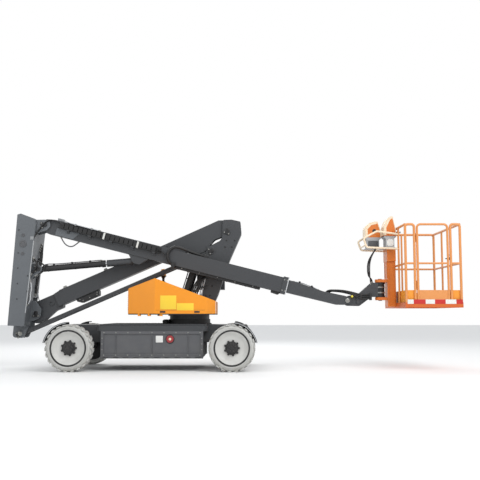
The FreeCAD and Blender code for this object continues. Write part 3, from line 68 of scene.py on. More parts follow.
# Three broad soft lamps and an even sky, at a level that shows colours as they are written.
lampTable = (
    # name, place, size, watts
    ("keyLamp", (4.0, -6.0, 6.5), 5.0, 350.0),
    ("fillLamp", (-5.5, -5.5, 4.0), 5.0, 70.0),
    ("backLamp", (-1.0, 6.5, 6.0), 5.0, 180.0),
)
for lampName, place, size, watts in lampTable:
    lampData = bpy.data.lights.new(lampName, "AREA")
    lampData.shape = "SQUARE"
    lampData.size = size
    lampData.energy = watts
    lamp = bpy.data.objects.new(lampName, lampData)
    lamp.location = place
    aim = Vector((0.0, 0.0, 0.8)) - Vector(place)
    lamp.rotation_euler = aim.to_track_quat("-Z", "Y").to_euler()
    scene.collection.objects.link(lamp)

scene.view_settings.view_transform = "Standard"


def linear(colour):
    # A colour as it is seen on a screen, 0 to 255, turned into the values a shader takes.
    channels = []
    for value in colour:
        share = value / 255.0
        channels.append(share / 12.92 if share <= 0.04045 else ((share + 0.055) / 1.055) ** 2.4)
    return (channels[0], channels[1], channels[2], 1.0)


def addNode(tree, kind, place, **values):
    node = tree.nodes.new(kind)
    node.location = place
    for key, value in values.items():
        setattr(node, key, value)
    return node


def buildSky():
    # Even light on the machine, and plain white where the camera or a shiny surface looks past it.
    world = bpy.data.worlds.new("evenSky")
    world.use_nodes = True
    tree = world.node_tree
    light = tree.nodes["Background"]
    light.inputs["Color"].default_value = (0.90, 0.92, 0.95, 1.0)
    light.inputs["Strength"].default_value = 0.80
    white = addNode(tree, "ShaderNodeBackground", (0, -200))
    white.inputs["Color"].default_value = (1.0, 1.0, 1.0, 1.0)
    path = addNode(tree, "ShaderNodeLightPath", (-400, 200))
    seen = addNode(tree, "ShaderNodeMath", (-200, 200), operation="MAXIMUM")
    any3 = addNode(tree, "ShaderNodeMath", (0, 200), operation="MAXIMUM")
    mix = addNode(tree, "ShaderNodeMixShader", (200, 0))
    tree.links.new(path.outputs["Is Camera Ray"], seen.inputs[0])
    tree.links.new(path.outputs["Is Glossy Ray"], seen.inputs[1])
    tree.links.new(seen.outputs[0], any3.inputs[0])
    tree.links.new(path.outputs["Is Transmission Ray"], any3.inputs[1])
    tree.links.new(any3.outputs[0], mix.inputs[0])
    tree.links.new(light.outputs[0], mix.inputs[1])
    tree.links.new(white.outputs[0], mix.inputs[2])
    tree.links.new(mix.outputs[0], tree.nodes["World Output"].inputs["Surface"])
    scene.world = world


buildSky()
print("camera and lamps set")


def groupTree(name, inputs, outputs):
    tree = bpy.data.node_groups.new(name, "ShaderNodeTree")
    for label, kind, value in inputs:
        socket = tree.interface.new_socket(name=label, in_out="INPUT", socket_type=kind)
        socket.default_value = value
    for label, kind in outputs:
        tree.interface.new_socket(name=label, in_out="OUTPUT", socket_type=kind)
    source = addNode(tree, "NodeGroupInput", (-900, 0))
    sink = addNode(tree, "NodeGroupOutput", (700, 0))
    return tree, source, sink


def buildEdgeWear():
    # Rounded shading along hard edges, and a broken mask of where paint rubs off them.
    tree, source, sink = groupTree(
        "edgeWear",
        (("Radius", "NodeSocketFloat", 0.004), ("Amount", "NodeSocketFloat", 0.5),
         ("Breakup", "NodeSocketFloat", 40.0)),
        (("Mask", "NodeSocketFloat"), ("Normal", "NodeSocketVector")))
    link = tree.links.new
    bevel = addNode(tree, "ShaderNodeBevel", (-600, 100), samples=4)
    geometry = addNode(tree, "ShaderNodeNewGeometry", (-600, -100))
    place = addNode(tree, "ShaderNodeTexCoord", (-700, -350))
    dot = addNode(tree, "ShaderNodeVectorMath", (-400, 0), operation="DOT_PRODUCT")
    noise = addNode(tree, "ShaderNodeTexNoise", (-400, -300))
    noise.inputs["Detail"].default_value = 5.0
    edge = addNode(tree, "ShaderNodeMapRange", (-200, 0))
    edge.inputs["From Min"].default_value = 0.995
    edge.inputs["From Max"].default_value = 0.90
    patch = addNode(tree, "ShaderNodeMapRange", (-200, -300))
    patch.inputs["From Min"].default_value = 0.50
    patch.inputs["From Max"].default_value = 0.64
    both = addNode(tree, "ShaderNodeMath", (0, -100), operation="MULTIPLY")
    level = addNode(tree, "ShaderNodeMath", (200, -100), operation="MULTIPLY", use_clamp=True)
    link(source.outputs["Radius"], bevel.inputs["Radius"])
    link(source.outputs["Breakup"], noise.inputs["Scale"])
    link(place.outputs["Object"], noise.inputs["Vector"])
    link(bevel.outputs["Normal"], dot.inputs[0])
    link(geometry.outputs["Normal"], dot.inputs[1])
    link(dot.outputs["Value"], edge.inputs["Value"])
    link(noise.outputs["Fac"], patch.inputs["Value"])
    link(edge.outputs["Result"], both.inputs[0])
    link(patch.outputs["Result"], both.inputs[1])
    link(both.outputs["Value"], level.inputs[0])
    link(source.outputs["Amount"], level.inputs[1])
    link(level.outputs["Value"], sink.inputs["Mask"])
    link(bevel.outputs["Normal"], sink.inputs["Normal"])
    return tree


def buildSurfaceGrain():
    # Slow cloudy change of tone with fine orange peel over it.
    tree, source, sink = groupTree(
        "surfaceGrain",
        (("Cloud Scale", "NodeSocketFloat", 3.0), ("Grain Scale", "NodeSocketFloat", 220.0)),
        (("Cloud", "NodeSocketFloat"), ("Grain", "NodeSocketFloat")))
    link = tree.links.new
    place = addNode(tree, "ShaderNodeTexCoord", (-700, 0))
    cloud = addNode(tree, "ShaderNodeTexNoise", (-400, 150))
    cloud.inputs["Detail"].default_value = 6.0
    cloud.inputs["Roughness"].default_value = 0.6
    grain = addNode(tree, "ShaderNodeTexNoise", (-400, -150))
    grain.inputs["Detail"].default_value = 2.0
    link(place.outputs["Object"], cloud.inputs["Vector"])
    link(place.outputs["Object"], grain.inputs["Vector"])
    link(source.outputs["Cloud Scale"], cloud.inputs["Scale"])
    link(source.outputs["Grain Scale"], grain.inputs["Scale"])
    link(cloud.outputs["Fac"], sink.inputs["Cloud"])
    link(grain.outputs["Fac"], sink.inputs["Grain"])
    return tree


def buildDustFall():
    # Dust on upward faces and low down, broken by noise.
    tree, source, sink = groupTree(
        "dustFall",
        (("Amount", "NodeSocketFloat", 0.3), ("Low Height", "NodeSocketFloat", 0.5)),
        (("Mask", "NodeSocketFloat"),))
    link = tree.links.new
    geometry = addNode(tree, "ShaderNodeNewGeometry", (-800, 200))
    place = addNode(tree, "ShaderNodeTexCoord", (-800, -200))
    normalParts = addNode(tree, "ShaderNodeSeparateXYZ", (-600, 200))
    placeParts = addNode(tree, "ShaderNodeSeparateXYZ", (-600, -100))
    up = addNode(tree, "ShaderNodeMapRange", (-400, 200))
    up.inputs["From Min"].default_value = 0.3
    up.inputs["From Max"].default_value = 1.0
    low = addNode(tree, "ShaderNodeMapRange", (-400, -100))
    low.inputs["From Min"].default_value = 0.0
    low.inputs["To Min"].default_value = 0.8
    low.inputs["To Max"].default_value = 0.0
    more = addNode(tree, "ShaderNodeMath", (-200, 100), operation="MAXIMUM")
    noise = addNode(tree, "ShaderNodeTexNoise", (-400, -400))
    noise.inputs["Scale"].default_value = 9.0
    noise.inputs["Detail"].default_value = 7.0
    patch = addNode(tree, "ShaderNodeMapRange", (-200, -300))
    patch.inputs["From Min"].default_value = 0.38
    patch.inputs["From Max"].default_value = 0.68
    both = addNode(tree, "ShaderNodeMath", (0, 0), operation="MULTIPLY")
    level = addNode(tree, "ShaderNodeMath", (200, 0), operation="MULTIPLY", use_clamp=True)
    link(geometry.outputs["Normal"], normalParts.inputs[0])
    link(place.outputs["Object"], placeParts.inputs[0])
    link(place.outputs["Object"], noise.inputs["Vector"])
    link(normalParts.outputs["Z"], up.inputs["Value"])
    link(placeParts.outputs["Z"], low.inputs["Value"])
    link(source.outputs["Low Height"], low.inputs["From Max"])
    link(up.outputs["Result"], more.inputs[0])
    link(low.outputs["Result"], more.inputs[1])
    link(noise.outputs["Fac"], patch.inputs["Value"])
    link(more.outputs["Value"], both.inputs[0])
    link(patch.outputs["Result"], both.inputs[1])
    link(both.outputs["Value"], level.inputs[0])
    link(source.outputs["Amount"], level.inputs[1])
    link(level.outputs["Value"], sink.inputs["Mask"])
    return tree


edgeWear = buildEdgeWear()
surfaceGrain = buildSurfaceGrain()
dustFall = buildDustFall()


def mixColour(tree, place, factor, first, second):
    mix = addNode(tree, "ShaderNodeMix", place, data_type="RGBA")
    for socket, value in ((0, factor), (6, first), (7, second)):
        if isinstance(value, bpy.types.NodeSocket):
            tree.links.new(value, mix.inputs[socket])
        else:
            mix.inputs[socket].default_value = value
    return mix.outputs[2]


def placeGroup(tree, group, place, **values):
    node = addNode(tree, "ShaderNodeGroup", place)
    node.node_tree = group
    for label, value in values.items():
        node.inputs[label.replace("_", " ")].default_value = value
    return node


def finishMaterial(name, colour, **look):
    # One coated or bare surface: tone change, rubbed edges, dust and a fine grain.
    settings = {
        "shade": 0.82, "rough": (0.38, 0.55), "metallic": 0.0, "cloud": 3.0, "grain": 220.0,
        "bump": 0.03, "edgeRadius": 0.004, "wear": 0.35, "wearColour": (150, 146, 140),
        "dust": 0.25, "dustHeight": 0.55, "dustColour": (150, 142, 128), "coat": 0.0, "breakup": 40.0,
    }
    settings.update(look)
    material = bpy.data.materials.new(name)
    material.use_nodes = True
    tree = material.node_tree
    shader = tree.nodes["Principled BSDF"]
    base = linear(colour)
    dark = tuple(c * settings["shade"] for c in base[:3]) + (1.0,)
    grain = placeGroup(tree, surfaceGrain, (-900, 200), Cloud_Scale=settings["cloud"],
                       Grain_Scale=settings["grain"])
    wear = placeGroup(tree, edgeWear, (-900, -50), Radius=settings["edgeRadius"],
                      Amount=settings["wear"], Breakup=settings["breakup"])
    dust = placeGroup(tree, dustFall, (-900, -300), Amount=settings["dust"],
                      Low_Height=settings["dustHeight"])
    toned = mixColour(tree, (-600, 200), grain.outputs["Cloud"], dark, base)
    worn = mixColour(tree, (-400, 200), wear.outputs["Mask"], toned, linear(settings["wearColour"]))
    dusty = mixColour(tree, (-200, 200), dust.outputs["Mask"], worn, linear(settings["dustColour"]))
    tree.links.new(dusty, shader.inputs["Base Color"])
    rough = addNode(tree, "ShaderNodeMapRange", (-400, -100))
    rough.inputs["To Min"].default_value = settings["rough"][0]
    rough.inputs["To Max"].default_value = settings["rough"][1]
    tree.links.new(grain.outputs["Cloud"], rough.inputs["Value"])
    tree.links.new(rough.outputs["Result"], shader.inputs["Roughness"])
    bump = addNode(tree, "ShaderNodeBump", (-250, -350))
    bump.inputs["Strength"].default_value = settings["bump"]
    bump.inputs["Distance"].default_value = 0.002
    tree.links.new(grain.outputs["Grain"], bump.inputs["Height"])
    tree.links.new(wear.outputs["Normal"], bump.inputs["Normal"])
    tree.links.new(bump.outputs["Normal"], shader.inputs["Normal"])
    shader.inputs["Metallic"].default_value = settings["metallic"]
    if settings["coat"] > 0.0:
        shader.inputs["Coat Weight"].default_value = settings["coat"]
        shader.inputs["Coat Roughness"].default_value = 0.12
    return material


charcoal = finishMaterial("charcoalPaint", (60, 62, 65), dust=0.30, dustColour=(120, 118, 114))
deckGrey = finishMaterial("deckGrey", (58, 60, 63), rough=(0.45, 0.65), dust=0.45,
                          dustColour=(118, 115, 110))
postGrey = finishMaterial("postGrey", (98, 102, 106), dust=0.3, dustColour=(132, 130, 126))
panelGrey = finishMaterial("panelGrey", (88, 89, 92), dust=0.3, dustColour=(128, 126, 122))
cowlPaint = finishMaterial("cowlPaint", (244, 150, 0), shade=0.86, rough=(0.28, 0.42), coat=0.25,
                           dust=0.12, wear=0.15, wearColour=(205, 140, 60), edgeRadius=0.006)
basketPaint = finishMaterial("basketPaint", (216, 116, 30), shade=0.84, rough=(0.30, 0.46), coat=0.15,
                             dust=0.12, wear=0.30, wearColour=(150, 96, 60))
railPaint = finishMaterial("railPaint", (224, 148, 82), shade=0.88, rough=(0.30, 0.46), coat=0.1, dust=0.12)
rimRed = finishMaterial("rimRed", (208, 98, 32), shade=0.86, rough=(0.34, 0.5), dust=0.15)
kickPaint = finishMaterial("kickPaint", (244, 158, 50), shade=0.88, rough=(0.32, 0.5), dust=0.15)
blackSteel = finishMaterial("blackSteel", (30, 30, 32), shade=0.7, rough=(0.35, 0.6), dust=0.3,
                            dustColour=(96, 92, 86))
hoseRubber = finishMaterial("hoseRubber", (24, 24, 25), shade=0.75, rough=(0.45, 0.62), wear=0.0,
                            dust=0.15, dustColour=(84, 82, 78), edgeRadius=0.002)
tyreGrey = finishMaterial("tyreGrey", (196, 196, 192), shade=0.84, rough=(0.75, 0.9), wear=0.25,
                          wearColour=(150, 148, 142), dust=0.45, dustHeight=0.35,
                          dustColour=(140, 134, 122), bump=0.12, grain=120.0, edgeRadius=0.006)
rimPaint = finishMaterial("rimPaint", (214, 214, 210), shade=0.88, rough=(0.35, 0.55), dust=0.35,
                          dustColour=(150, 144, 132))
boxGrey = finishMaterial("boxGrey", (176, 178, 180), shade=0.88, dust=0.1)
silverBand = finishMaterial("silverBand", (206, 208, 210), shade=0.9, rough=(0.25, 0.4), metallic=0.4,
                            dust=0.05)
zincBolt = finishMaterial("zincBolt", (150, 150, 146), shade=0.8, rough=(0.3, 0.5), metallic=0.8,
                          dust=0.1, wear=0.1, edgeRadius=0.0015)
chromeRod = finishMaterial("chromeRod", (205, 207, 210), shade=0.96, rough=(0.06, 0.14), metallic=1.0,
                           dust=0.0, wear=0.0, bump=0.0)
whiteTie = finishMaterial("whiteTie", (222, 222, 216), rough=(0.4, 0.6), dust=0.1, wear=0.0)
wearPad = finishMaterial("wearPad", (40, 40, 42), rough=(0.5, 0.7), dust=0.2, wear=0.0)
redLens = finishMaterial("redLens", (158, 20, 30), rough=(0.12, 0.2), dust=0.05, wear=0.0, coat=0.6)
redStripe = finishMaterial("redStripe", (200, 40, 36), rough=(0.3, 0.45), dust=0.1, wear=0.1)
whiteStripe = finishMaterial("whiteStripe", (232, 232, 228), rough=(0.3, 0.45), dust=0.1, wear=0.1)
amberLens = finishMaterial("amberLens", (255, 172, 52), shade=0.95, rough=(0.08, 0.16), dust=0.0,
                           wear=0.0, coat=0.7)
yellowPlate = finishMaterial("yellowPlate", (252, 212, 56), rough=(0.3, 0.45), dust=0.1, wear=0.05)
creamEdge = finishMaterial("creamEdge", (246, 226, 196), rough=(0.3, 0.45), dust=0.08, wear=0.1)
brassFitting = finishMaterial("brassFitting", (198, 184, 70), rough=(0.3, 0.45), metallic=0.6, dust=0.1)
galvanised = finishMaterial("galvanised", (150, 152, 154), shade=0.8, rough=(0.35, 0.55), metallic=0.5,
                            cloud=14.0, dust=0.3, wear=0.0)
print("finishes ready:", len(bpy.data.materials))

nodeFinish = {
    "chassis_frame": deckGrey, "side_cover_left": panelGrey, "side_cover_right": panelGrey,
    "front_axle": blackSteel, "rear_axle": blackSteel, "rear_guard_left": charcoal,
    "rear_guard_right": charcoal, "slew_ring": blackSteel, "knuckle_left": charcoal,
    "knuckle_right": charcoal, "turntable": charcoal, "tower": charcoal, "power_blocks": blackSteel,
    "counterweight": charcoal, "cowl_left": cowlPaint, "cowl_right": cowlPaint, "beacon": amberLens,
    "valve_box": charcoal, "lower_boom": charcoal, "boom_box": blackSteel, "tie_rod_left": charcoal,
    "tie_rod_right": charcoal, "lower_barrel": blackSteel, "lower_rod": chromeRod, "post": postGrey,
    "upper_tube": charcoal, "boom_pads": wearPad, "hose_carrier": hoseRubber, "boom_tray": blackSteel,
    "fly": charcoal, "upper_barrel": blackSteel, "upper_rod": charcoal, "platform_bracket": charcoal,
    "rotator": blackSteel, "basket_arms": basketPaint, "basket_floor": rimRed,
    "toeboards": kickPaint, "side_left": railPaint, "side_right": railPaint, "gate": railPaint,
    "front_side": railPaint, "rear_side": railPaint, "console_guard": creamEdge,
    "console_box": boxGrey, "console_hoods": basketPaint,
}
for nodeName, node in nodes.items():
    if nodeName in nodeFinish:
        node.data.materials.clear()
        node.data.materials.append(nodeFinish[nodeName])

# The basket's floor plate is bare metal inside its painted rim.
floorPlate = nodes["basket_floor"].data
floorPlate.materials.append(galvanised)
floorTop = max(vert.co.z for vert in floorPlate.vertices)
for face in floorPlate.polygons:
    if face.normal.z > 0.9 and face.center.z > floorTop - 0.003:
        face.material_index = 1


def shadeByAngle(mesh, degrees=35.0):
    for face in mesh.polygons:
        face.use_smooth = True
    mesh.set_sharp_from_angle(angle=math.radians(degrees))


def keepMesh(name, bm, finish, body):
    # A finished piece: its place is in its mesh and its normals point out.
    bmesh.ops.remove_doubles(bm, verts=bm.verts, dist=1e-6)
    bmesh.ops.recalc_face_normals(bm, faces=bm.faces)
    mesh = bpy.data.meshes.new(name)
    bm.to_mesh(mesh)
    bm.free()
    for item in (finish if isinstance(finish, (list, tuple)) else [finish]):
        mesh.materials.append(item)
    shadeByAngle(mesh)
    piece = bpy.data.objects.new(name, mesh)
    scene.collection.objects.link(piece)
    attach(piece, body)
    return piece


def addBlock(bm, low, high, edge=0.002, slot=0, turn=None):
    # A block with softened edges between two corners, turned by a matrix if one is given.
    low, high = Vector(low), Vector(high)
    made = bmesh.ops.create_cube(bm, size=1.0)
    size = high - low
    for vert in made["verts"]:
        vert.co = Vector((vert.co.x * size.x, vert.co.y * size.y, vert.co.z * size.z)) + (low + high) / 2
    faces = {face for vert in made["verts"] for face in vert.link_faces}
    for face in faces:
        face.material_index = slot
    if edge > 0.0:
        edges = {item for vert in made["verts"] for item in vert.link_edges}
        made = bmesh.ops.bevel(bm, geom=list(edges), offset=edge, segments=2, affect="EDGES",
                               profile=0.7, material=slot)
        verts = {vert for face in made["faces"] for vert in face.verts}
        for face in list(faces):
            if face.is_valid:
                verts.update(face.verts)
    else:
        verts = set(made["verts"])
    if turn is not None:
        bmesh.ops.transform(bm, matrix=turn, verts=list(verts))
    return verts


def addLathe(bm, profile, origin, axis, segments=48, slot=0, slots=None):
    # Turns a profile of (radius, height) round an axis; a radius of 0 closes the end.
    origin, axis = Vector(origin), Vector(axis).normalized()
    side = axis.orthogonal().normalized()
    other = axis.cross(side)
    rings = []
    for radius, height in profile:
        if radius <= 1e-6:
            rings.append([bm.verts.new(origin + axis * height)])
            continue
        ring = []
        for i in range(segments):
            turn = 2 * math.pi * i / segments
            offset = side * (radius * math.cos(turn)) + other * (radius * math.sin(turn))
            ring.append(bm.verts.new(origin + axis * height + offset))
        rings.append(ring)
    for index in range(len(rings) - 1):
        a, b = rings[index], rings[index + 1]
        paint = slots[index] if slots else slot
        for i in range(segments):
            j = (i + 1) % segments
            if len(a) == 1 and len(b) == 1:
                continue
            if len(a) == 1:
                face = bm.faces.new((a[0], b[i], b[j]))
            elif len(b) == 1:
                face = bm.faces.new((a[i], b[0], a[j]))
            else:
                face = bm.faces.new((a[i], b[i], b[j], a[j]))
            face.material_index = paint


def addRod(bm, start, end, radius, segments=20, slot=0, chamfer=0.12):
    start, end = Vector(start), Vector(end)
    length = (end - start).length
    cut = min(radius * chamfer, length * 0.2)
    addLathe(bm, [(0, 0), (radius - cut, 0), (radius, cut), (radius, length - cut),
                  (radius - cut, length), (0, length)], start, end - start, segments, slot)


def laneFrame(origin, direction):
    # Side-view places along a boom: s along it, n square to it and upwards, y across.
    dx, dz = direction.x, direction.z

    def place(s, n, y):
        return Vector((origin.x + s * dx - n * dz, y, origin.z + s * dz + n * dx))

    return place


lowerDirection = (pins["lower_boom_lift"] - pins["post_level"]).normalized()
lowerLane = laneFrame(pins["post_level"], lowerDirection)
upperDirection = axes["fly_extend"].normalized()
upperLane = laneFrame(pins["upper_boom_lift"], upperDirection)
lowerY = pins["lower_boom_lift"].y
upperY = pins["upper_boom_lift"].y
lowerTurn = math.atan2(lowerDirection.z, lowerDirection.x)
upperTurn = math.atan2(upperDirection.z, upperDirection.x)


def laneMatrix(origin, turn):
    return Matrix.Translation(origin) @ Matrix.Rotation(-turn, 4, "Y")


lowerMatrix = laneMatrix(Vector((pins["post_level"].x, 0, pins["post_level"].z)), lowerTurn)
upperMatrix = laneMatrix(Vector((pins["upper_boom_lift"].x, 0, pins["upper_boom_lift"].z)), upperTurn)


def geometryTree(name, inputs):
    tree = bpy.data.node_groups.new(name, "GeometryNodeTree")
    tree.interface.new_socket(name="Geometry", in_out="INPUT", socket_type="NodeSocketGeometry")
    for label, kind, value in inputs:
        socket = tree.interface.new_socket(name=label, in_out="INPUT", socket_type=kind)
        if value is not None:
            socket.default_value = value
    tree.interface.new_socket(name="Geometry", in_out="OUTPUT", socket_type="NodeSocketGeometry")
    source = addNode(tree, "NodeGroupInput", (-900, 0))
    sink = addNode(tree, "NodeGroupOutput", (800, 0))
    return tree, source, sink


def buildBoltTree():
    # A hexagon head on a washer at every point, facing along the point's own vector.
    tree, source, sink = geometryTree(
        "boltHeads", (("Radius", "NodeSocketFloat", 0.010), ("Height", "NodeSocketFloat", 0.008),
                      ("Sides", "NodeSocketInt", 6), ("Finish", "NodeSocketMaterial", None)))
    link = tree.links.new
    head = addNode(tree, "GeometryNodeMeshCylinder", (-600, 200))
    washer = addNode(tree, "GeometryNodeMeshCylinder", (-600, -100))
    washer.inputs["Vertices"].default_value = 20
    wide = addNode(tree, "ShaderNodeMath", (-750, -100), operation="MULTIPLY")
    wide.inputs[1].default_value = 1.45
    thin = addNode(tree, "ShaderNodeMath", (-750, -250), operation="MULTIPLY")
    thin.inputs[1].default_value = 0.3
    halfUp = addNode(tree, "ShaderNodeMath", (-600, 350), operation="MULTIPLY")
    halfUp.inputs[1].default_value = 0.5
    lift = addNode(tree, "ShaderNodeCombineXYZ", (-450, 350))
    moved = addNode(tree, "GeometryNodeTransform", (-300, 200))
    joined = addNode(tree, "GeometryNodeJoinGeometry", (-100, 50))
    facing = addNode(tree, "GeometryNodeInputNamedAttribute", (-300, -300), data_type="FLOAT_VECTOR")
    facing.inputs["Name"].default_value = "facing"
    align = addNode(tree, "FunctionNodeAlignRotationToVector", (-100, -250), axis="Z")
    stamp = addNode(tree, "GeometryNodeInstanceOnPoints", (150, 50))
    real = addNode(tree, "GeometryNodeRealizeInstances", (350, 50))
    paint = addNode(tree, "GeometryNodeSetMaterial", (550, 50))
    link(source.outputs["Radius"], head.inputs["Radius"])
    link(source.outputs["Height"], head.inputs["Depth"])
    link(source.outputs["Sides"], head.inputs["Vertices"])
    link(source.outputs["Radius"], wide.inputs[0])
    link(source.outputs["Height"], thin.inputs[0])
    link(wide.outputs[0], washer.inputs["Radius"])
    link(thin.outputs[0], washer.inputs["Depth"])
    link(source.outputs["Height"], halfUp.inputs[0])
    link(halfUp.outputs[0], lift.inputs["Z"])
    link(head.outputs["Mesh"], moved.inputs["Geometry"])
    link(lift.outputs[0], moved.inputs["Translation"])
    link(moved.outputs[0], joined.inputs[0])
    link(washer.outputs["Mesh"], joined.inputs[0])
    link(facing.outputs["Attribute"], align.inputs["Vector"])
    link(source.outputs["Geometry"], stamp.inputs["Points"])
    link(joined.outputs[0], stamp.inputs["Instance"])
    link(align.outputs[0], stamp.inputs["Rotation"])
    link(stamp.outputs[0], real.inputs[0])
    link(real.outputs[0], paint.inputs["Geometry"])
    link(source.outputs["Finish"], paint.inputs["Material"])
    link(paint.outputs[0], sink.inputs[0])
    return tree


boltTree = buildBoltTree()


def treeMesh(name, host, tree, values, smoothAngle=35.0):
    # Sets the tree's inputs on the host, keeps the result as a plain mesh and drops the host.
    modifier = host.modifiers.new(name, "NODES")
    modifier.node_group = tree
    for item in tree.interface.items_tree:
        if item.item_type == "SOCKET" and item.in_out == "INPUT" and item.name in values:
            modifier[item.identifier] = values[item.name]
    scene.collection.objects.link(host)
    bpy.context.view_layer.update()
    graph = bpy.context.evaluated_depsgraph_get()
    mesh = bpy.data.meshes.new_from_object(host.evaluated_get(graph))
    host.modifiers.remove(modifier)
    bpy.data.objects.remove(host)
    mesh.name = name
    shadeByAngle(mesh, smoothAngle)
    return mesh


def placePiece(name, mesh, body, blendTo=None, bend=None):
    # blendTo, when given, leaves the piece on no body with its place baked into its mesh; the bend points are read and
    # dropped.
    piece = bpy.data.objects.new(name, mesh)
    scene.collection.objects.link(piece)
    if blendTo is None:
        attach(piece, body)
    else:
        tuple(bend[0])
        tuple(bend[1])
        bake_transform(piece)
    return piece


def runTree(name, host, tree, values, body, smoothAngle=35.0):
    return placePiece(name, treeMesh(name, host, tree, values, smoothAngle), body)


def pointHost(name, rows):
    # Loose points that each carry a facing vector.
    mesh = bpy.data.meshes.new(name + "Points")
    mesh.from_pydata([tuple(place) for place, facing in rows], [], [])
    attribute = mesh.attributes.new("facing", "FLOAT_VECTOR", "POINT")
    for index, (place, facing) in enumerate(rows):
        attribute.data[index].vector = Vector(facing)
    return bpy.data.objects.new(name + "Points", mesh)


def bolts(name, rows, radius, height, body, finish=zincBolt, sides=6):
    values = {"Radius": radius, "Height": height, "Sides": sides, "Finish": finish}
    return runTree(name, pointHost(name, rows), boltTree, values, body)


def hoses(name, routes, radius, body, finish=hoseRubber, blendTo=None, bend=None,
          endFinish=zincBolt):
    # Clipped hoses: each route is a short list of points on one smooth line, with a nut at each end.
    curve = bpy.data.curves.new(name, "CURVE")
    curve.dimensions = "3D"
    curve.bevel_depth = radius
    curve.bevel_resolution = 4
    curve.use_fill_caps = True
    curve.resolution_u = 8
    for route in routes:
        spline = curve.splines.new("NURBS")
        spline.points.add(len(route) - 1)
        for point, place in zip(spline.points, route):
            point.co = (place[0], place[1], place[2], 1.0)
        spline.order_u = 3
        spline.use_endpoint_u = True
    host = bpy.data.objects.new(name + "Curve", curve)
    scene.collection.objects.link(host)
    bpy.context.view_layer.update()
    graph = bpy.context.evaluated_depsgraph_get()
    mesh = bpy.data.meshes.new_from_object(host.evaluated_get(graph))
    bpy.data.objects.remove(host)
    mesh.materials.clear()
    mesh.materials.append(finish)
    shadeByAngle(mesh, 50.0)
    piece = placePiece(name, mesh, body, blendTo, bend)
    if endFinish is not None:
        for tail, carrier in ((0, body), (-1, blendTo or body)):
            bm = bmesh.new()
            for route in routes:
                near, far = Vector(route[tail]), Vector(route[1 if tail == 0 else -2])
                addFerrule(bm, near, far - near, radius)
            keepMesh(name + ("Start" if tail == 0 else "End"), bm, endFinish, carrier)
    return piece


# Places are given from the middle between the axles, on the ground, so they don't depend on the frame's origin.
middleX = (pins["wheel_front_left_spin"].x + pins["wheel_rear_left_spin"].x) / 2


def at(x, y, z):
    return Vector((middleX + x, y, z))


surfaces = {}


def touch(nodeName, start, direction, needed=True):
    # Where a line from start first meets a CAD piece, and which way that face looks.
    if nodeName not in surfaces:
        mesh = nodes[nodeName].data
        surfaces[nodeName] = BVHTree.FromPolygons([vert.co.copy() for vert in mesh.vertices],
                                                  [tuple(face.vertices) for face in mesh.polygons])
    spot, facing, index, distance = surfaces[nodeName].ray_cast(Vector(start), Vector(direction))
    if spot is None and needed:
        raise RuntimeError("no surface of %s on that line" % nodeName)
    return spot, facing


def buildCopyTree():
    # Copies of one shape in a row, and that row again side by side.
    tree, source, sink = geometryTree(
        "copiesInRows", (("Count Along", "NodeSocketInt", 1), ("Step Along", "NodeSocketVector", None),
                         ("Count Across", "NodeSocketInt", 1), ("Step Across", "NodeSocketVector", None),
                         ("Finish", "NodeSocketMaterial", None)))
    link = tree.links.new
    last = source.outputs["Geometry"]
    for number, word in enumerate(("Along", "Across")):
        line = addNode(tree, "GeometryNodeMeshLine", (-600 + number * 500, 200), mode="OFFSET")
        stamp = addNode(tree, "GeometryNodeInstanceOnPoints", (-400 + number * 500, 0))
        real = addNode(tree, "GeometryNodeRealizeInstances", (-200 + number * 500, 0))
        link(source.outputs["Count " + word], line.inputs["Count"])
        link(source.outputs["Step " + word], line.inputs["Offset"])
        link(line.outputs[0], stamp.inputs["Points"])
        link(last, stamp.inputs["Instance"])
        link(stamp.outputs[0], real.inputs[0])
        last = real.outputs[0]
    paint = addNode(tree, "GeometryNodeSetMaterial", (550, 0))
    link(last, paint.inputs["Geometry"])
    link(source.outputs["Finish"], paint.inputs["Material"])
    link(paint.outputs[0], sink.inputs[0])
    return tree


copyTree = buildCopyTree()


def copies(name, bm, finish, body, along=(1, (0, 0, 0)), across=(1, (0, 0, 0)), angle=35.0):
    # The shape in bm stands at the first place; the others follow in even steps.
    bmesh.ops.remove_doubles(bm, verts=bm.verts, dist=1e-6)
    bmesh.ops.recalc_face_normals(bm, faces=bm.faces)
    mesh = bpy.data.meshes.new(name + "Unit")
    bm.to_mesh(mesh)
    bm.free()
    host = bpy.data.objects.new(name + "Unit", mesh)
    values = {"Count Along": along[0], "Step Along": [float(c) for c in along[1]],
              "Count Across": across[0], "Step Across": [float(c) for c in across[1]], "Finish": finish}
    return runTree(name, host, copyTree, values, body, angle)


def addStud(bm, low, high, cut, slot=0):
    # A low block whose top is smaller than its foot, with no face below.
    low, high = Vector(low), Vector(high)
    foot = [bm.verts.new((x, y, low.z)) for x, y in ((low.x, low.y), (high.x, low.y), (high.x, high.y),
                                                     (low.x, high.y))]
    top = [bm.verts.new((x, y, high.z)) for x, y in
           ((low.x + cut, low.y + cut), (high.x - cut, low.y + cut), (high.x - cut, high.y - cut),
            (low.x + cut, high.y - cut))]
    for i in range(4):
        j = (i + 1) % 4
        bm.faces.new((foot[i], foot[j], top[j], top[i])).material_index = slot
    bm.faces.new(top).material_index = slot
    bm.faces.new(list(reversed(foot))).material_index = slot


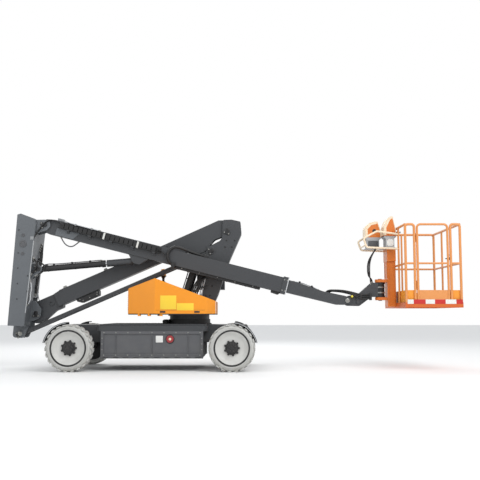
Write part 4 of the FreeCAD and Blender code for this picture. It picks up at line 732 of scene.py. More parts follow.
def addPlate(bm, outline, low, high, edge=0.0015, slot=0, turn=None):
    # An outline in x and z with a thickness in y, its edges softened.
    front = [bm.verts.new((x, low, z)) for x, z in outline]
    back = [bm.verts.new((x, high, z)) for x, z in outline]
    faces = [bm.faces.new(front), bm.faces.new(list(reversed(back)))]
    rims = list(faces[0].edges) + list(faces[1].edges)
    count = len(outline)
    for i in range(count):
        j = (i + 1) % count
        faces.append(bm.faces.new((front[j], front[i], back[i], back[j])))
    for face in faces:
        face.material_index = slot
    verts = set(front + back)
    if edge > 0.0:
        made = bmesh.ops.bevel(bm, geom=rims, offset=edge, segments=2, affect="EDGES", profile=0.7,
                               material=slot)
        verts = {vert for vert in verts if vert.is_valid}
        verts.update(vert for face in made["faces"] for vert in face.verts)
        verts.update(vert for face in faces if face.is_valid for vert in face.verts)
    if turn is not None:
        bmesh.ops.transform(bm, matrix=turn, verts=list(verts))
    return verts


def addFerrule(bm, place, direction, radius, slot=0):
    # Crimped sleeve and hexagon nut at a hose's end.
    direction = Vector(direction).normalized()
    addLathe(bm, [(0, 0), (radius * 1.25, 0), (radius * 1.35, radius * 0.4), (radius * 1.35, radius * 2.6),
                  (radius * 1.15, radius * 3.0), (0, radius * 3.0)], place, direction, 14, slot)
    addLathe(bm, [(0, -radius * 1.4), (radius * 1.6, -radius * 1.4), (radius * 1.6, 0), (0, 0)], place,
             direction, 6, slot)


# Wheels: a lugged solid tyre, a dished rim whose edge ring is black as painted shade for the shadow at the rim's edge,
# and the drive hub.
wheelSizes = {"radius": 0.290, "width": 0.190, "seat": 0.2225, "lugs": 22, "lugDepth": 0.013,
              "dish": 0.062, "hub": 0.082, "hubHeight": 0.046, "hubBolts": 9}


def buildLugTree():
    # Tread bars standing round the tyre, leaned to one side of the middle.
    tree, source, sink = geometryTree(
        "treadLugs", (("Count", "NodeSocketInt", 22), ("Radius", "NodeSocketFloat", 0.283),
                      ("Length", "NodeSocketFloat", 0.085), ("Width", "NodeSocketFloat", 0.034),
                      ("Height", "NodeSocketFloat", 0.016), ("Shift", "NodeSocketFloat", 0.0),
                      ("Side", "NodeSocketFloat", 0.045), ("Lean", "NodeSocketFloat", 0.45),
                      ("Finish", "NodeSocketMaterial", None)))
    link = tree.links.new
    ring = addNode(tree, "GeometryNodeMeshCircle", (-700, 100))
    index = addNode(tree, "GeometryNodeInputIndex", (-900, -300))
    ratio = addNode(tree, "ShaderNodeMath", (-700, -300), operation="DIVIDE")
    shifted = addNode(tree, "ShaderNodeMath", (-550, -300), operation="ADD")
    turn = addNode(tree, "ShaderNodeMath", (-400, -300), operation="MULTIPLY")
    turn.inputs[1].default_value = 2 * math.pi
    sine = addNode(tree, "ShaderNodeMath", (-250, -250), operation="SINE")
    cosine = addNode(tree, "ShaderNodeMath", (-250, -400), operation="COSINE")
    outX = addNode(tree, "ShaderNodeMath", (-100, -250), operation="MULTIPLY")
    outZ = addNode(tree, "ShaderNodeMath", (-100, -400), operation="MULTIPLY")
    spot = addNode(tree, "ShaderNodeCombineXYZ", (50, -300))
    move = addNode(tree, "GeometryNodeSetPosition", (200, 100))
    block = addNode(tree, "GeometryNodeMeshCube", (-400, 400))
    size = addNode(tree, "ShaderNodeCombineXYZ", (-550, 400))
    leanTurn = addNode(tree, "ShaderNodeCombineXYZ", (-400, 600))
    leaned = addNode(tree, "GeometryNodeTransform", (-200, 400))
    spin = addNode(tree, "ShaderNodeCombineXYZ", (50, -500))
    stamp = addNode(tree, "GeometryNodeInstanceOnPoints", (350, 100))
    real = addNode(tree, "GeometryNodeRealizeInstances", (500, 100))
    paint = addNode(tree, "GeometryNodeSetMaterial", (650, 100))
    link(source.outputs["Count"], ring.inputs["Vertices"])
    link(index.outputs[0], ratio.inputs[0])
    link(source.outputs["Count"], ratio.inputs[1])
    link(ratio.outputs[0], shifted.inputs[0])
    link(source.outputs["Shift"], shifted.inputs[1])
    link(shifted.outputs[0], turn.inputs[0])
    link(turn.outputs[0], sine.inputs[0])
    link(turn.outputs[0], cosine.inputs[0])
    link(sine.outputs[0], outX.inputs[0])
    link(source.outputs["Radius"], outX.inputs[1])
    link(cosine.outputs[0], outZ.inputs[0])
    link(source.outputs["Radius"], outZ.inputs[1])
    link(outX.outputs[0], spot.inputs["X"])
    link(source.outputs["Side"], spot.inputs["Y"])
    link(outZ.outputs[0], spot.inputs["Z"])
    link(ring.outputs["Mesh"], move.inputs["Geometry"])
    link(spot.outputs[0], move.inputs["Position"])
    link(source.outputs["Width"], size.inputs["X"])
    link(source.outputs["Length"], size.inputs["Y"])
    link(source.outputs["Height"], size.inputs["Z"])
    link(size.outputs[0], block.inputs["Size"])
    link(source.outputs["Lean"], leanTurn.inputs["Z"])
    link(block.outputs["Mesh"], leaned.inputs["Geometry"])
    link(leanTurn.outputs[0], leaned.inputs["Rotation"])
    link(turn.outputs[0], spin.inputs["Y"])
    link(move.outputs[0], stamp.inputs["Points"])
    link(leaned.outputs[0], stamp.inputs["Instance"])
    link(spin.outputs[0], stamp.inputs["Rotation"])
    link(stamp.outputs[0], real.inputs[0])
    link(real.outputs[0], paint.inputs["Geometry"])
    link(source.outputs["Finish"], paint.inputs["Material"])
    link(paint.outputs[0], sink.inputs[0])
    return tree


lugTree = buildLugTree()


def makeWheel(end, side):
    sizes = wheelSizes
    label = "%s_%s" % (end, side)
    centre = pins["wheel_%s_spin" % label]
    outward = Vector((0, 1 if side == "left" else -1, 0))
    half = sizes["width"] / 2
    body = "wheel_" + label
    base = sizes["radius"] - sizes["lugDepth"]
    bm = bmesh.new()
    seat = sizes["seat"]
    # profile from the inner bead over the tread to the outer bead, then back along the seat
    addLathe(bm, [(seat, -half + 0.004), (seat + 0.008, -half), (base - 0.035, -half + 0.003), (base - 0.012, -half + 0.014),
                  (base, -half + 0.034), (base + 0.003, 0), (base, half - 0.034), (base - 0.012, half - 0.014),
                  (base - 0.035, half - 0.003), (seat + 0.020, half), (seat + 0.016, half - 0.003), (seat + 0.008, half - 0.003),
                  (seat, half - 0.006), (seat, -half + 0.004)], centre, outward, 72)
    tyre = keepMesh("tyreBody_" + label, bm, tyreGrey, body)
    bm = bmesh.new()
    for sign, shift in ((1, 0.0), (-1, 0.5)):
        host = bpy.data.objects.new("lugHost", bpy.data.meshes.new("lugHost"))
        lugs = treeMesh("lugs", host, lugTree,
                        {"Count": sizes["lugs"], "Radius": base + 0.0035, "Length": 0.092, "Width": 0.042,
                         "Height": 0.017, "Shift": shift / sizes["lugs"], "Side": sign * 0.043,
                         "Lean": sign * 0.42, "Finish": tyreGrey})
        lugs.transform(Matrix.Translation(centre))
        bm.from_mesh(lugs)
    bmesh.ops.bevel(bm, geom=list(bm.edges), offset=0.003, segments=1, affect="EDGES")
    keepMesh("treadLugs_" + label, bm, tyreGrey, body)
    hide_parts("tyre_" + label)

    bm = bmesh.new()
    lip = seat - 0.010
    out = half
    # The seat band and the outer lip ring take slot 1, black: painted shade standing for the shadow at the rim's edge.
    addLathe(bm, [(seat, -half + 0.002), (seat, out - 0.001), (seat - 0.004, out), (lip - 0.008, out),
                  (lip - 0.010, out - 0.006), (lip - 0.004, out - 0.016), (lip - 0.020, out - 0.030),
                  (lip - 0.050, out - sizes["dish"] + 0.006), (lip - 0.062, out - sizes["dish"]),
                  (0.0, out - sizes["dish"])], centre, outward, 72,
             slots=[1, 1, 1, 1, 0, 0, 0, 0, 0])
    addLathe(bm, [(0.0, out - sizes["dish"] - 0.012), (seat - 0.010, out - sizes["dish"] - 0.012),
                  (seat - 0.010, -half + 0.002), (seat, -half + 0.002)], centre, outward, 72,
             slots=[1, 1, 1])
    rim = keepMesh("rimDisc_" + label, bm, [rimPaint, blackSteel], body)
    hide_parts("rim_" + label)

    bm = bmesh.new()
    face = out - sizes["dish"]
    hub = sizes["hub"]
    addLathe(bm, [(hub, face - 0.004), (hub, face + 0.018), (hub - 0.006, face + 0.024), (hub * 0.74, face + 0.025),
                  (hub * 0.72, face + 0.040), (hub * 0.66, face + 0.046), (hub * 0.30, face + 0.046),
                  (hub * 0.28, face + 0.049), (0.0, face + 0.049)], centre, outward, 48)
    for i in range(sizes["hubBolts"]):
        turn = 2 * math.pi * i / sizes["hubBolts"]
        spot = centre + Vector((math.cos(turn), 0, math.sin(turn))) * (hub + 0.004) + outward * (face - 0.004)
        addLathe(bm, [(0.0145, 0), (0.0145, 0.016), (0.012, 0.021), (0, 0.021)], spot, outward, 14)
    keepMesh("driveHub_" + label, bm, blackSteel, body)
    rows = []
    for i in range(sizes["hubBolts"]):
        turn = 2 * math.pi * i / sizes["hubBolts"]
        rows.append((centre + Vector((math.cos(turn), 0, math.sin(turn))) * (hub + 0.004)
                     + outward * (face + 0.017), outward))
    for i in range(8):
        turn = 2 * math.pi * (i + 0.5) / 8
        rows.append((centre + Vector((math.cos(turn), 0, math.sin(turn))) * hub * 0.50
                     + outward * (face + 0.046), outward))
    bolts("hubBolts_" + label, rows, 0.0085, 0.007, body, blackSteel)


for wheelEnd in ("front", "rear"):
    for wheelSide in ("left", "right"):
        makeWheel(wheelEnd, wheelSide)
print("wheels done")

# Chassis: bolts round the side panels, reflectors, latches, deck tread and end-plate fittings.
chassisSizes = {"face": 0.602, "recess": 0.588, "topBand": 0.475, "footBand": 0.196, "endBand": 0.623,
                "deckTop": 0.580, "endFace": 1.202, "bolt": 0.0055, "studPitch": 0.045}


def makeChassis():
    sizes = chassisSizes
    rows = []
    for side in (-1, 1):
        face, out = side * sizes["face"], (0, side, 0)
        for i in range(9):
            for z in (sizes["topBand"], sizes["footBand"]):
                rows.append((at(-0.600 + i * 0.150, face, z), out))
        for z in (0.265, 0.335, 0.405):
            for x in (-sizes["endBand"], sizes["endBand"]):
                rows.append((at(x, face, z), out))
    for end in (-1, 1):
        for y in (-0.360, -0.180, 0.180, 0.360):
            rows.append((at(end * sizes["endFace"], y, 0.520), (end, 0, 0)))
        for y in (-0.380, 0.380):
            for z in (0.330, 0.430):
                rows.append((at(end * sizes["endFace"], y, z), (end, 0, 0)))
    bolts("panelBolts", rows, sizes["bolt"], 0.005, "root")

    bm = bmesh.new()
    addBlock(bm, at(0.047, -0.5950, 0.352), at(0.137, -0.5875, 0.436), 0.004)
    keepMesh("whiteReflector", bm, whiteStripe, "root")
    bm = bmesh.new()
    lamp = at(0.225, -0.5875, 0.394)
    addLathe(bm, [(0, 0), (0.056, 0), (0.056, 0.006), (0.050, 0.010), (0.046, 0.007), (0, 0.007)],
             lamp, (0, -1, 0), 40)
    keepMesh("redReflectorRim", bm, blackSteel, "root")
    bm = bmesh.new()
    addLathe(bm, [(0, 0.0065), (0.0455, 0.0065), (0.0455, 0.0095), (0.040, 0.0115), (0.030, 0.0105),
                  (0.020, 0.0122), (0.010, 0.0112), (0, 0.0126)], lamp, (0, -1, 0), 40)
    keepMesh("redReflector", bm, redLens, "root")
    bm = bmesh.new()
    addLathe(bm, [(0, 0.011), (0.016, 0.011), (0.016, 0.0135), (0.012, 0.0145), (0, 0.0145)], lamp, (0, -1, 0), 28)
    keepMesh("redReflectorStud", bm, creamEdge, "root")

    # left panel: a sunk latch towards the front and a pull handle towards the rear
    bm = bmesh.new()
    addBlock(bm, at(0.420, 0.586, 0.385), at(0.530, 0.6005, 0.440), 0.004)
    addBlock(bm, at(0.432, 0.597, 0.397), at(0.492, 0.604, 0.428), 0.003)
    addRod(bm, at(0.510, 0.600, 0.412), at(0.510, 0.607, 0.412), 0.008, 16)
    for z in (0.292, 0.412):
        addBlock(bm, at(-0.566, 0.586, z - 0.012), at(-0.536, 0.612, z + 0.012), 0.004)
    addBlock(bm, at(-0.563, 0.606, 0.280), at(-0.539, 0.618, 0.424), 0.005)
    keepMesh("leftPanelLatch", bm, blackSteel, "root")

    bm = bmesh.new()
    pitch = sizes["studPitch"]
    addStud(bm, at(-0.630, -0.530, sizes["deckTop"] - 0.0002), at(-0.602, -0.524, sizes["deckTop"] + 0.0025),
            0.0018)
    copies("deckTread", bm, deckGrey, "root", (28, (pitch, 0, 0)), (24, (0, pitch, 0)))
    rows = []
    for i in range(24):
        turn = 2 * math.pi * i / 24
        rows.append((Vector((pins["slew"].x + 0.2855 * math.cos(turn), 0.2855 * math.sin(turn),
                             sizes["deckTop"])), (0, 0, 1)))
    bolts("slewRingBolts", rows, 0.0055, 0.009, "root", blackSteel)

    bm = bmesh.new()
    for end in (-1, 1):
        low, high = sorted((end * 1.201, end * 1.214))
        addBlock(bm, at(low, -0.150, 0.435), at(high, 0.150, 0.475), 0.004)
    keepMesh("endBuffers", bm, wearPad, "root")
    bm = bmesh.new()
    for end in (-1, 1):
        for y in (-0.280, 0.280):
            addLathe(bm, [(0.0205, -0.001), (0.036, -0.001), (0.036, 0.004), (0.033, 0.007), (0.0235, 0.007),
                          (0.0205, 0.004), (0.0205, -0.001)], at(end * sizes["endFace"], y, 0.270),
                     (end, 0, 0), 36)
    keepMesh("tieDownCollars", bm, charcoal, "root")

    # steering cylinder behind the front axle
    bm = bmesh.new()
    addRod(bm, at(0.900, -0.150, 0.300), at(0.900, 0.150, 0.300), 0.034, 28, 0)
    for y in (-0.165, 0.165):
        addRod(bm, at(0.900, y - 0.018, 0.300), at(0.900, y + 0.018, 0.300), 0.039, 28, 0)
        addBlock(bm, at(0.885, y - 0.016, 0.285), at(0.945, y + 0.016, 0.315), 0.003)
    keepMesh("steerCylinder", bm, blackSteel, "root")
    bm = bmesh.new()
    addRod(bm, at(0.900, -0.330, 0.300), at(0.900, 0.330, 0.300), 0.016, 24, 0)
    keepMesh("steerRod", bm, chromeRod, "root")


makeChassis()

# Guards: a rolled bead along each outer edge, on the inner radius so that the clearances stay; its pale silver is a
# painted highlight for the sky's reflection on the guard's top.
guardSizes = {"radius": 0.3085, "bead": 0.0035, "y": 0.803}


def makeGuardHighlightBeads():
    sizes = guardSizes
    for body, wheel, side, first, last in (("root", "rear_left", 1, 96, 168), ("root", "rear_right", -1, 96, 168),
                                           ("knuckle_left", "front_left", 1, 12, 84),
                                           ("knuckle_right", "front_right", -1, 12, 84)):
        centre = pins["wheel_%s_spin" % wheel]
        route = []
        for i in range(13):
            turn = math.radians(first + (last - first) * i / 12)
            route.append((centre.x + sizes["radius"] * math.cos(turn), side * sizes["y"],
                          centre.z + sizes["radius"] * math.sin(turn)))
        # Pale silver bead: a painted highlight for the light on the guard's top edge.
        hoses("guardHighlightBead_" + wheel, [route], sizes["bead"], body, silverBand, endFinish=None)


makeGuardHighlightBeads()
print("chassis dressed")

# Pins of the booms: domed cap, keeper plate and its two bolts on each end.
pinSizes = {"cap": 0.030, "height": 0.006, "plateLong": 0.088, "plateWide": 0.024, "plateThick": 0.006,
            "drop": 0.054}
tieFront = pins["tie_rod_swing"]
tieRear = pins["post_level"] + (tieFront - pins["lower_boom_lift"])
pinTable = (
    # name, place, body, half reach, keeper's turn in degrees (none leaves it off), caps' finish
    ("elbowPin", pins["lower_boom_lift"], "turntable", 0.133, 20, blackSteel),
    ("tieFrontPin", tieFront, "turntable", 0.133, 70, blackSteel),
    ("postPin", pins["post_level"], "post", 0.136, 0, blackSteel),
    ("tieRearPin", tieRear, "post", 0.136, 60, zincBolt),
    ("upperBoomPin", pins["upper_boom_lift"], "post", 0.111, 80, blackSteel),
    ("upperBasePin", pins["upper_barrel_swing"], "post", 0.071, 90, blackSteel),
    ("lowerBasePin", pins["lower_barrel_swing"], "turntable", 0.086, 0, blackSteel),
    ("levelPin", pins["platform_level"], "fly", 0.073, None, zincBolt),
)


def makePins():
    sizes = pinSizes
    for name, place, body, half, turn, capFinish in pinTable:
        caps, plates = bmesh.new(), bmesh.new()
        rows = []
        for side in (-1, 1):
            face = Vector((place.x, place.y + side * half, place.z))
            addLathe(caps, [(0, -0.002), (sizes["cap"], -0.002), (sizes["cap"], sizes["height"] * 0.5),
                            (sizes["cap"] * 0.8, sizes["height"]), (sizes["cap"] * 0.25, sizes["height"]),
                            (sizes["cap"] * 0.2, sizes["height"] * 0.5), (0, sizes["height"] * 0.5)],
                     face, (0, side, 0), 36)
            if turn is None:
                continue
            spin = Matrix.Translation(face) @ Matrix.Rotation(math.radians(turn), 4, "Y")
            low, high = sorted((-0.001 * side, side * sizes["plateThick"]))
            half2 = sizes["plateLong"] / 2
            addBlock(plates, (-half2, low, -sizes["drop"]),
                     (half2, high, -sizes["drop"] + sizes["plateWide"] + 0.006), 0.002, turn=spin)
            for x in (-half2 + 0.013, half2 - 0.013):
                rows.append((spin @ Vector((x, side * sizes["plateThick"], -sizes["drop"] + 0.015)),
                             (0, side, 0)))
        keepMesh(name + "Caps", caps, capFinish, body)
        if turn is None:
            plates.free()
            continue
        keepMesh(name + "Plates", plates, blackSteel, body)
        bolts(name + "Bolts", rows, 0.0065, 0.005, body)


makePins()
print("pins dressed")

# Cowls: a rubber foot that is also painted shade under their bottom edge, lid seam, hooks under the foot, flush
# latches, louvres and blank plates.
cowlSizes = {"side": 0.600, "foot": 0.710, "peakX": 0.030, "frontX": 0.680, "tailX": -0.330, "tailY": 0.440,
             "noseX": 0.790, "right": 0.170, "left": 0.256}


def makeCowls():
    sizes = cowlSizes
    rubberAndShade, hooks, latches = bmesh.new(), bmesh.new(), bmesh.new()
    for side, inner in ((-1, sizes["right"]), (1, sizes["left"])):
        line = [(sizes["tailX"] + 0.012, inner + 0.03), (sizes["tailX"] + 0.012, sizes["tailY"] - 0.012),
                (sizes["peakX"], sizes["side"] - 0.012), (sizes["frontX"], sizes["side"] - 0.012),
                (sizes["noseX"] - 0.012, 0.500), (sizes["noseX"] - 0.012, inner + 0.03)]
        for (x0, y0), (x1, y1) in zip(line, line[1:]):
            a, b = at(x0, side * y0, 0), at(x1, side * y1, 0)
            turn = Matrix.Translation(a) @ Matrix.Rotation(math.atan2(b.y - a.y, b.x - a.x), 4, "Z")
            addBlock(rubberAndShade, (-0.004, -0.008, sizes["foot"] - 0.012), ((b - a).length + 0.004, 0.008,
                     sizes["foot"] + 0.001), 0.003, turn=turn)
        for x in (-0.175, -0.040, 0.110):
            y0, _ = touch("cowl_right" if side < 0 else "cowl_left", at(x, side * 0.9, 0.74), (0, -side, 0))
            face = abs(y0.y)
            low, high = sorted((side * (face - 0.026), side * (face - 0.004)))
            addBlock(hooks, at(x - 0.020, low, sizes["foot"] - 0.030), at(x + 0.020, high,
                     sizes["foot"] + 0.001), 0.004)
        for x in (0.130, 0.560):
            low, high = sorted((side * 0.5985, side * 0.603))
            addBlock(latches, at(x - 0.034, low, 0.722), at(x + 0.034, high, 0.744), 0.002)
            addRod(latches, at(x + 0.018, side * 0.600, 0.733), at(x + 0.018, side * 0.606, 0.733), 0.006, 16)
    # The dark foot strip is partly a rubber foot and partly painted shade, standing for the shadow band under the
    # cowls' bottom edge.
    keepMesh("cowlFootShade", rubberAndShade, wearPad, "turntable")
    keepMesh("cowlHooks", hooks, cowlPaint, "turntable")
    keepMesh("cowlLatches", latches, blackSteel, "turntable")

    for side, inner in ((-1, sizes["right"]), (1, sizes["left"])):
        name = "Right" if side < 0 else "Left"
        bm = bmesh.new()
        y0, y1 = sorted((side * (inner + 0.035), side * (sizes["tailY"] - 0.030)))
        lean = Matrix.Translation(at(sizes["tailX"], 0, 0.760)) @ Matrix.Rotation(math.radians(-28), 4, "Y")
        addBlock(bm, (-0.006, y0, 0.000), (0.010, y1, 0.006), 0.0015, turn=lean)
        copies("tailLouvres" + name, bm, blackSteel, "turntable", (8, (0, 0, 0.026)))

    bm = bmesh.new()
    for x0, x1, z0, z1 in ((0.098, 0.300, 0.765, 0.938), (0.306, 0.519, 0.752, 0.842)):
        addBlock(bm, at(x0, -0.6012, z0), at(x1, -0.5995, z1), 0.0005)
    addBlock(bm, at(0.140, 0.5995, 0.780), at(0.330, 0.6012, 0.900), 0.0005)
    keepMesh("blankPlates", bm, yellowPlate, "turntable")

    # a seam where the lid meets its lower frame, as a dark narrow strip let into the paint
    bm = bmesh.new()
    for side in (-1, 1):
        low, high = sorted((side * 0.5992, side * 0.6004))
        addBlock(bm, at(sizes["peakX"] + 0.01, low, 0.7535), at(sizes["frontX"] - 0.02, high, 0.7560), 0)
    keepMesh("cowlSeam", bm, blackSteel, "turntable")


makeCowls()

beaconSizes = {"x": 0.030, "y": 0.428, "foot": 1.150, "base": 1.234, "ribs": 20}


def makeBeacon():
    sizes = beaconSizes
    centre = at(sizes["x"], sizes["y"], 0)
    bm = bmesh.new()
    low, base = sizes["foot"], sizes["base"]
    addLathe(bm, [(0, low - 0.004), (0.026, low - 0.004), (0.030, low), (0.030, low + 0.006), (0.020, low + 0.012),
                  (0.0165, low + 0.022), (0.0185, base - 0.032), (0.030, base - 0.014), (0.0415, base - 0.004),
                  (0.0420, base + 0.004), (0.039, base + 0.006), (0, base + 0.006)], centre, (0, 0, 1), 40)
    keepMesh("beaconBase", bm, blackSteel, "turntable")
    bm = bmesh.new()
    top = base + 0.104
    addLathe(bm, [(0.0375, base + 0.004), (0.0375, base + 0.066), (0.0365, base + 0.078), (0.032, base + 0.090),
                  (0.024, base + 0.099), (0.012, top - 0.0012), (0, top)], centre, (0, 0, 1), sizes["ribs"] * 4)
    for vert in bm.verts:
        out = Vector((vert.co.x - centre.x, vert.co.y - centre.y, 0))
        wave = math.cos(math.atan2(out.y, out.x) * sizes["ribs"])
        if out.length > 0.030:
            vert.co -= out.normalized() * 0.0012 * (1 + wave)
    lens = keepMesh("beaconLens", bm, amberLens, "turntable")
    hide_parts("beacon")


makeBeacon()
print("cowls dressed")

# Tower: bolts on both plates, flanges on the foot, steel pipes up its rear edge whose pale colour is also a painted
# highlight of that edge, and clamps.
towerSizes = {"right": -0.025, "left": 0.225}


def makeTower():
    right = towerSizes["right"]
    rows = []
    for side, face in ((-1, right), (1, towerSizes["left"])):
        out = (0, side, 0)
        for x, z in ((0.640, 0.950), (0.700, 0.950), (0.655, 1.080), (0.730, 1.080), (0.690, 1.230),
                     (0.780, 1.230), (0.900, 1.600), (0.990, 1.600), (0.920, 1.690), (1.030, 1.690)):
            rows.append((at(x, face, z), out))
    bolts("towerBolts", rows, 0.009, 0.007, "turntable", blackSteel)

    # foot flanges with their bolts, each side of the plates
    bm = bmesh.new()
    rows = []
    for y0, y1 in ((-0.075, -0.024), (0.224, 0.250)):
        addBlock(bm, at(0.468, y0, 0.717), at(0.700, y1, 0.733), 0.003)
        for x in (0.500, 0.585, 0.670):
            rows.append((at(x, (y0 + y1) / 2, 0.733), (0, 0, 1)))
    for x in (0.520, 0.600, 0.670):
        addPlate(bm, [(at(x, 0, 0).x - 0.005, 0.732), (at(x, 0, 0).x + 0.005, 0.732),
                      (at(x, 0, 0).x + 0.005, 0.830), (at(x, 0, 0).x - 0.005, 0.830)], -0.068, -0.024, 0.001)
    keepMesh("towerFlange", bm, charcoal, "turntable")
    bolts("towerFootBolts", rows, 0.010, 0.009, "turntable")

    # two steel pipes and their clamps; the pipes' pale colour is also a painted highlight for the light along the
    # tower's rear edge
    routes = []
    for i, y in enumerate((-0.037, -0.055)):
        shift = 0.024 * i
        routes.append([at(0.560 + shift, y, 0.740), at(0.560 + shift, y, 0.900), at(0.572 + shift, y, 1.000),
                       at(0.612 + shift, y, 1.180), at(0.640 + shift, y, 1.300), at(0.668 + shift, y, 1.395)])
    hoses("towerHighlightPipes", routes, 0.0075, "turntable", silverBand)
    bm = bmesh.new()
    for x, z in ((0.572, 0.860), (0.598, 1.060), (0.640, 1.240)):
        addBlock(bm, at(x - 0.018, -0.066, z - 0.013), at(x + 0.046, -0.024, z + 0.013), 0.003)
    keepMesh("towerPipeClamps", bm, blackSteel, "turntable")


def makeTowerHoses():
    routes = []
    for i in range(4):
        y = -0.080 - 0.022 * i
        shift = 0.026 * i
        routes.append([at(0.420 + shift, y, 0.714), at(0.420 + shift, y, 0.800), at(0.452 + shift, y - 0.006, 0.960),
                       at(0.500 + shift, y, 1.110), at(0.580 + shift, y + 0.012, 1.200), at(0.650 + shift, -0.050, 1.230),
                       at(0.700 + shift * 0.8, -0.020, 1.240)])
    hoses("towerHoses", routes, 0.0105, "turntable")
    bm = bmesh.new()
    addBlock(bm, at(0.400, -0.168, 0.716), at(0.520, -0.070, 0.742), 0.004)
    addBlock(bm, at(0.690, -0.046, 1.218), at(0.780, -0.024, 1.262), 0.004)
    addBlock(bm, at(0.462, -0.166, 1.000), at(0.560, -0.066, 1.024), 0.004)
    keepMesh("towerHoseBlocks", bm, blackSteel, "turntable")


makeTower()
makeTowerHoses()

# Valve box on the left: white frame line, valve bodies with coils and levers, and their hoses.
valveSizes = {"face": 0.380, "columns": 3, "rows": 2, "x": 0.610, "z": 1.190, "pitchX": 0.090, "pitchZ": 0.190}


def makeValves():
    sizes = valveSizes
    coils, levers, frameBars = bmesh.new(), bmesh.new(), bmesh.new()
    routes = []
    for column in range(sizes["columns"]):
        for row in range(sizes["rows"]):
            x = sizes["x"] + column * sizes["pitchX"]
            z = sizes["z"] + row * sizes["pitchZ"]
            front = 0.450 - 0.024
            addRod(coils, at(x, front - 0.003, z + 0.030), at(x, front + 0.020, z + 0.030), 0.015, 24)
            addRod(coils, at(x, front + 0.018, z + 0.030), at(x, front + 0.0225, z + 0.030), 0.007, 16)
            addRod(levers, at(x, front - 0.003, z - 0.030), at(x, front + 0.010, z - 0.030), 0.009, 6)
            routes.append([at(x, front - 0.020, z - 0.058), at(x, front - 0.014, z - 0.085),
                           at(x - 0.010, front - 0.018, 1.120 + 0.010 * column), at(x - 0.030, front - 0.030, 1.080)])
    for low, high in (((0.528, 1.058), (0.872, 1.078)), ((0.528, 1.542), (0.872, 1.562)),
                      ((0.528, 1.058), (0.548, 1.562)), ((0.852, 1.058), (0.872, 1.562))):
        addBlock(frameBars, at(low[0], 0.449, low[1]), at(high[0], 0.4545, high[1]), 0.002)
    keepMesh("valveCoils", coils, blackSteel, "turntable")
    keepMesh("valveLevers", levers, zincBolt, "turntable")
    keepMesh("valveFrame", frameBars, boxGrey, "turntable")
    hoses("valveHoses", routes, 0.0065, "turntable", endFinish=None)
    bm = bmesh.new()
    addBlock(bm, at(0.600, 0.3795, 1.478), at(0.800, 0.3830, 1.530), 0.001)
    keepMesh("valvePlate", bm, whiteStripe, "turntable")
    rows = [(at(x, 0.4545, z), (0, 1, 0)) for x in (0.538, 0.700, 0.862) for z in (1.068, 1.552)]
    bolts("valveFrameBolts", rows, 0.0045, 0.003, "turntable")


makeValves()
print("tower dressed")

# Lower boom: bosses at the root, lugs on top, hoses along its left side and the box's cover.
def lowerAt(s, n, y):
    return lowerLane(s, n, y)


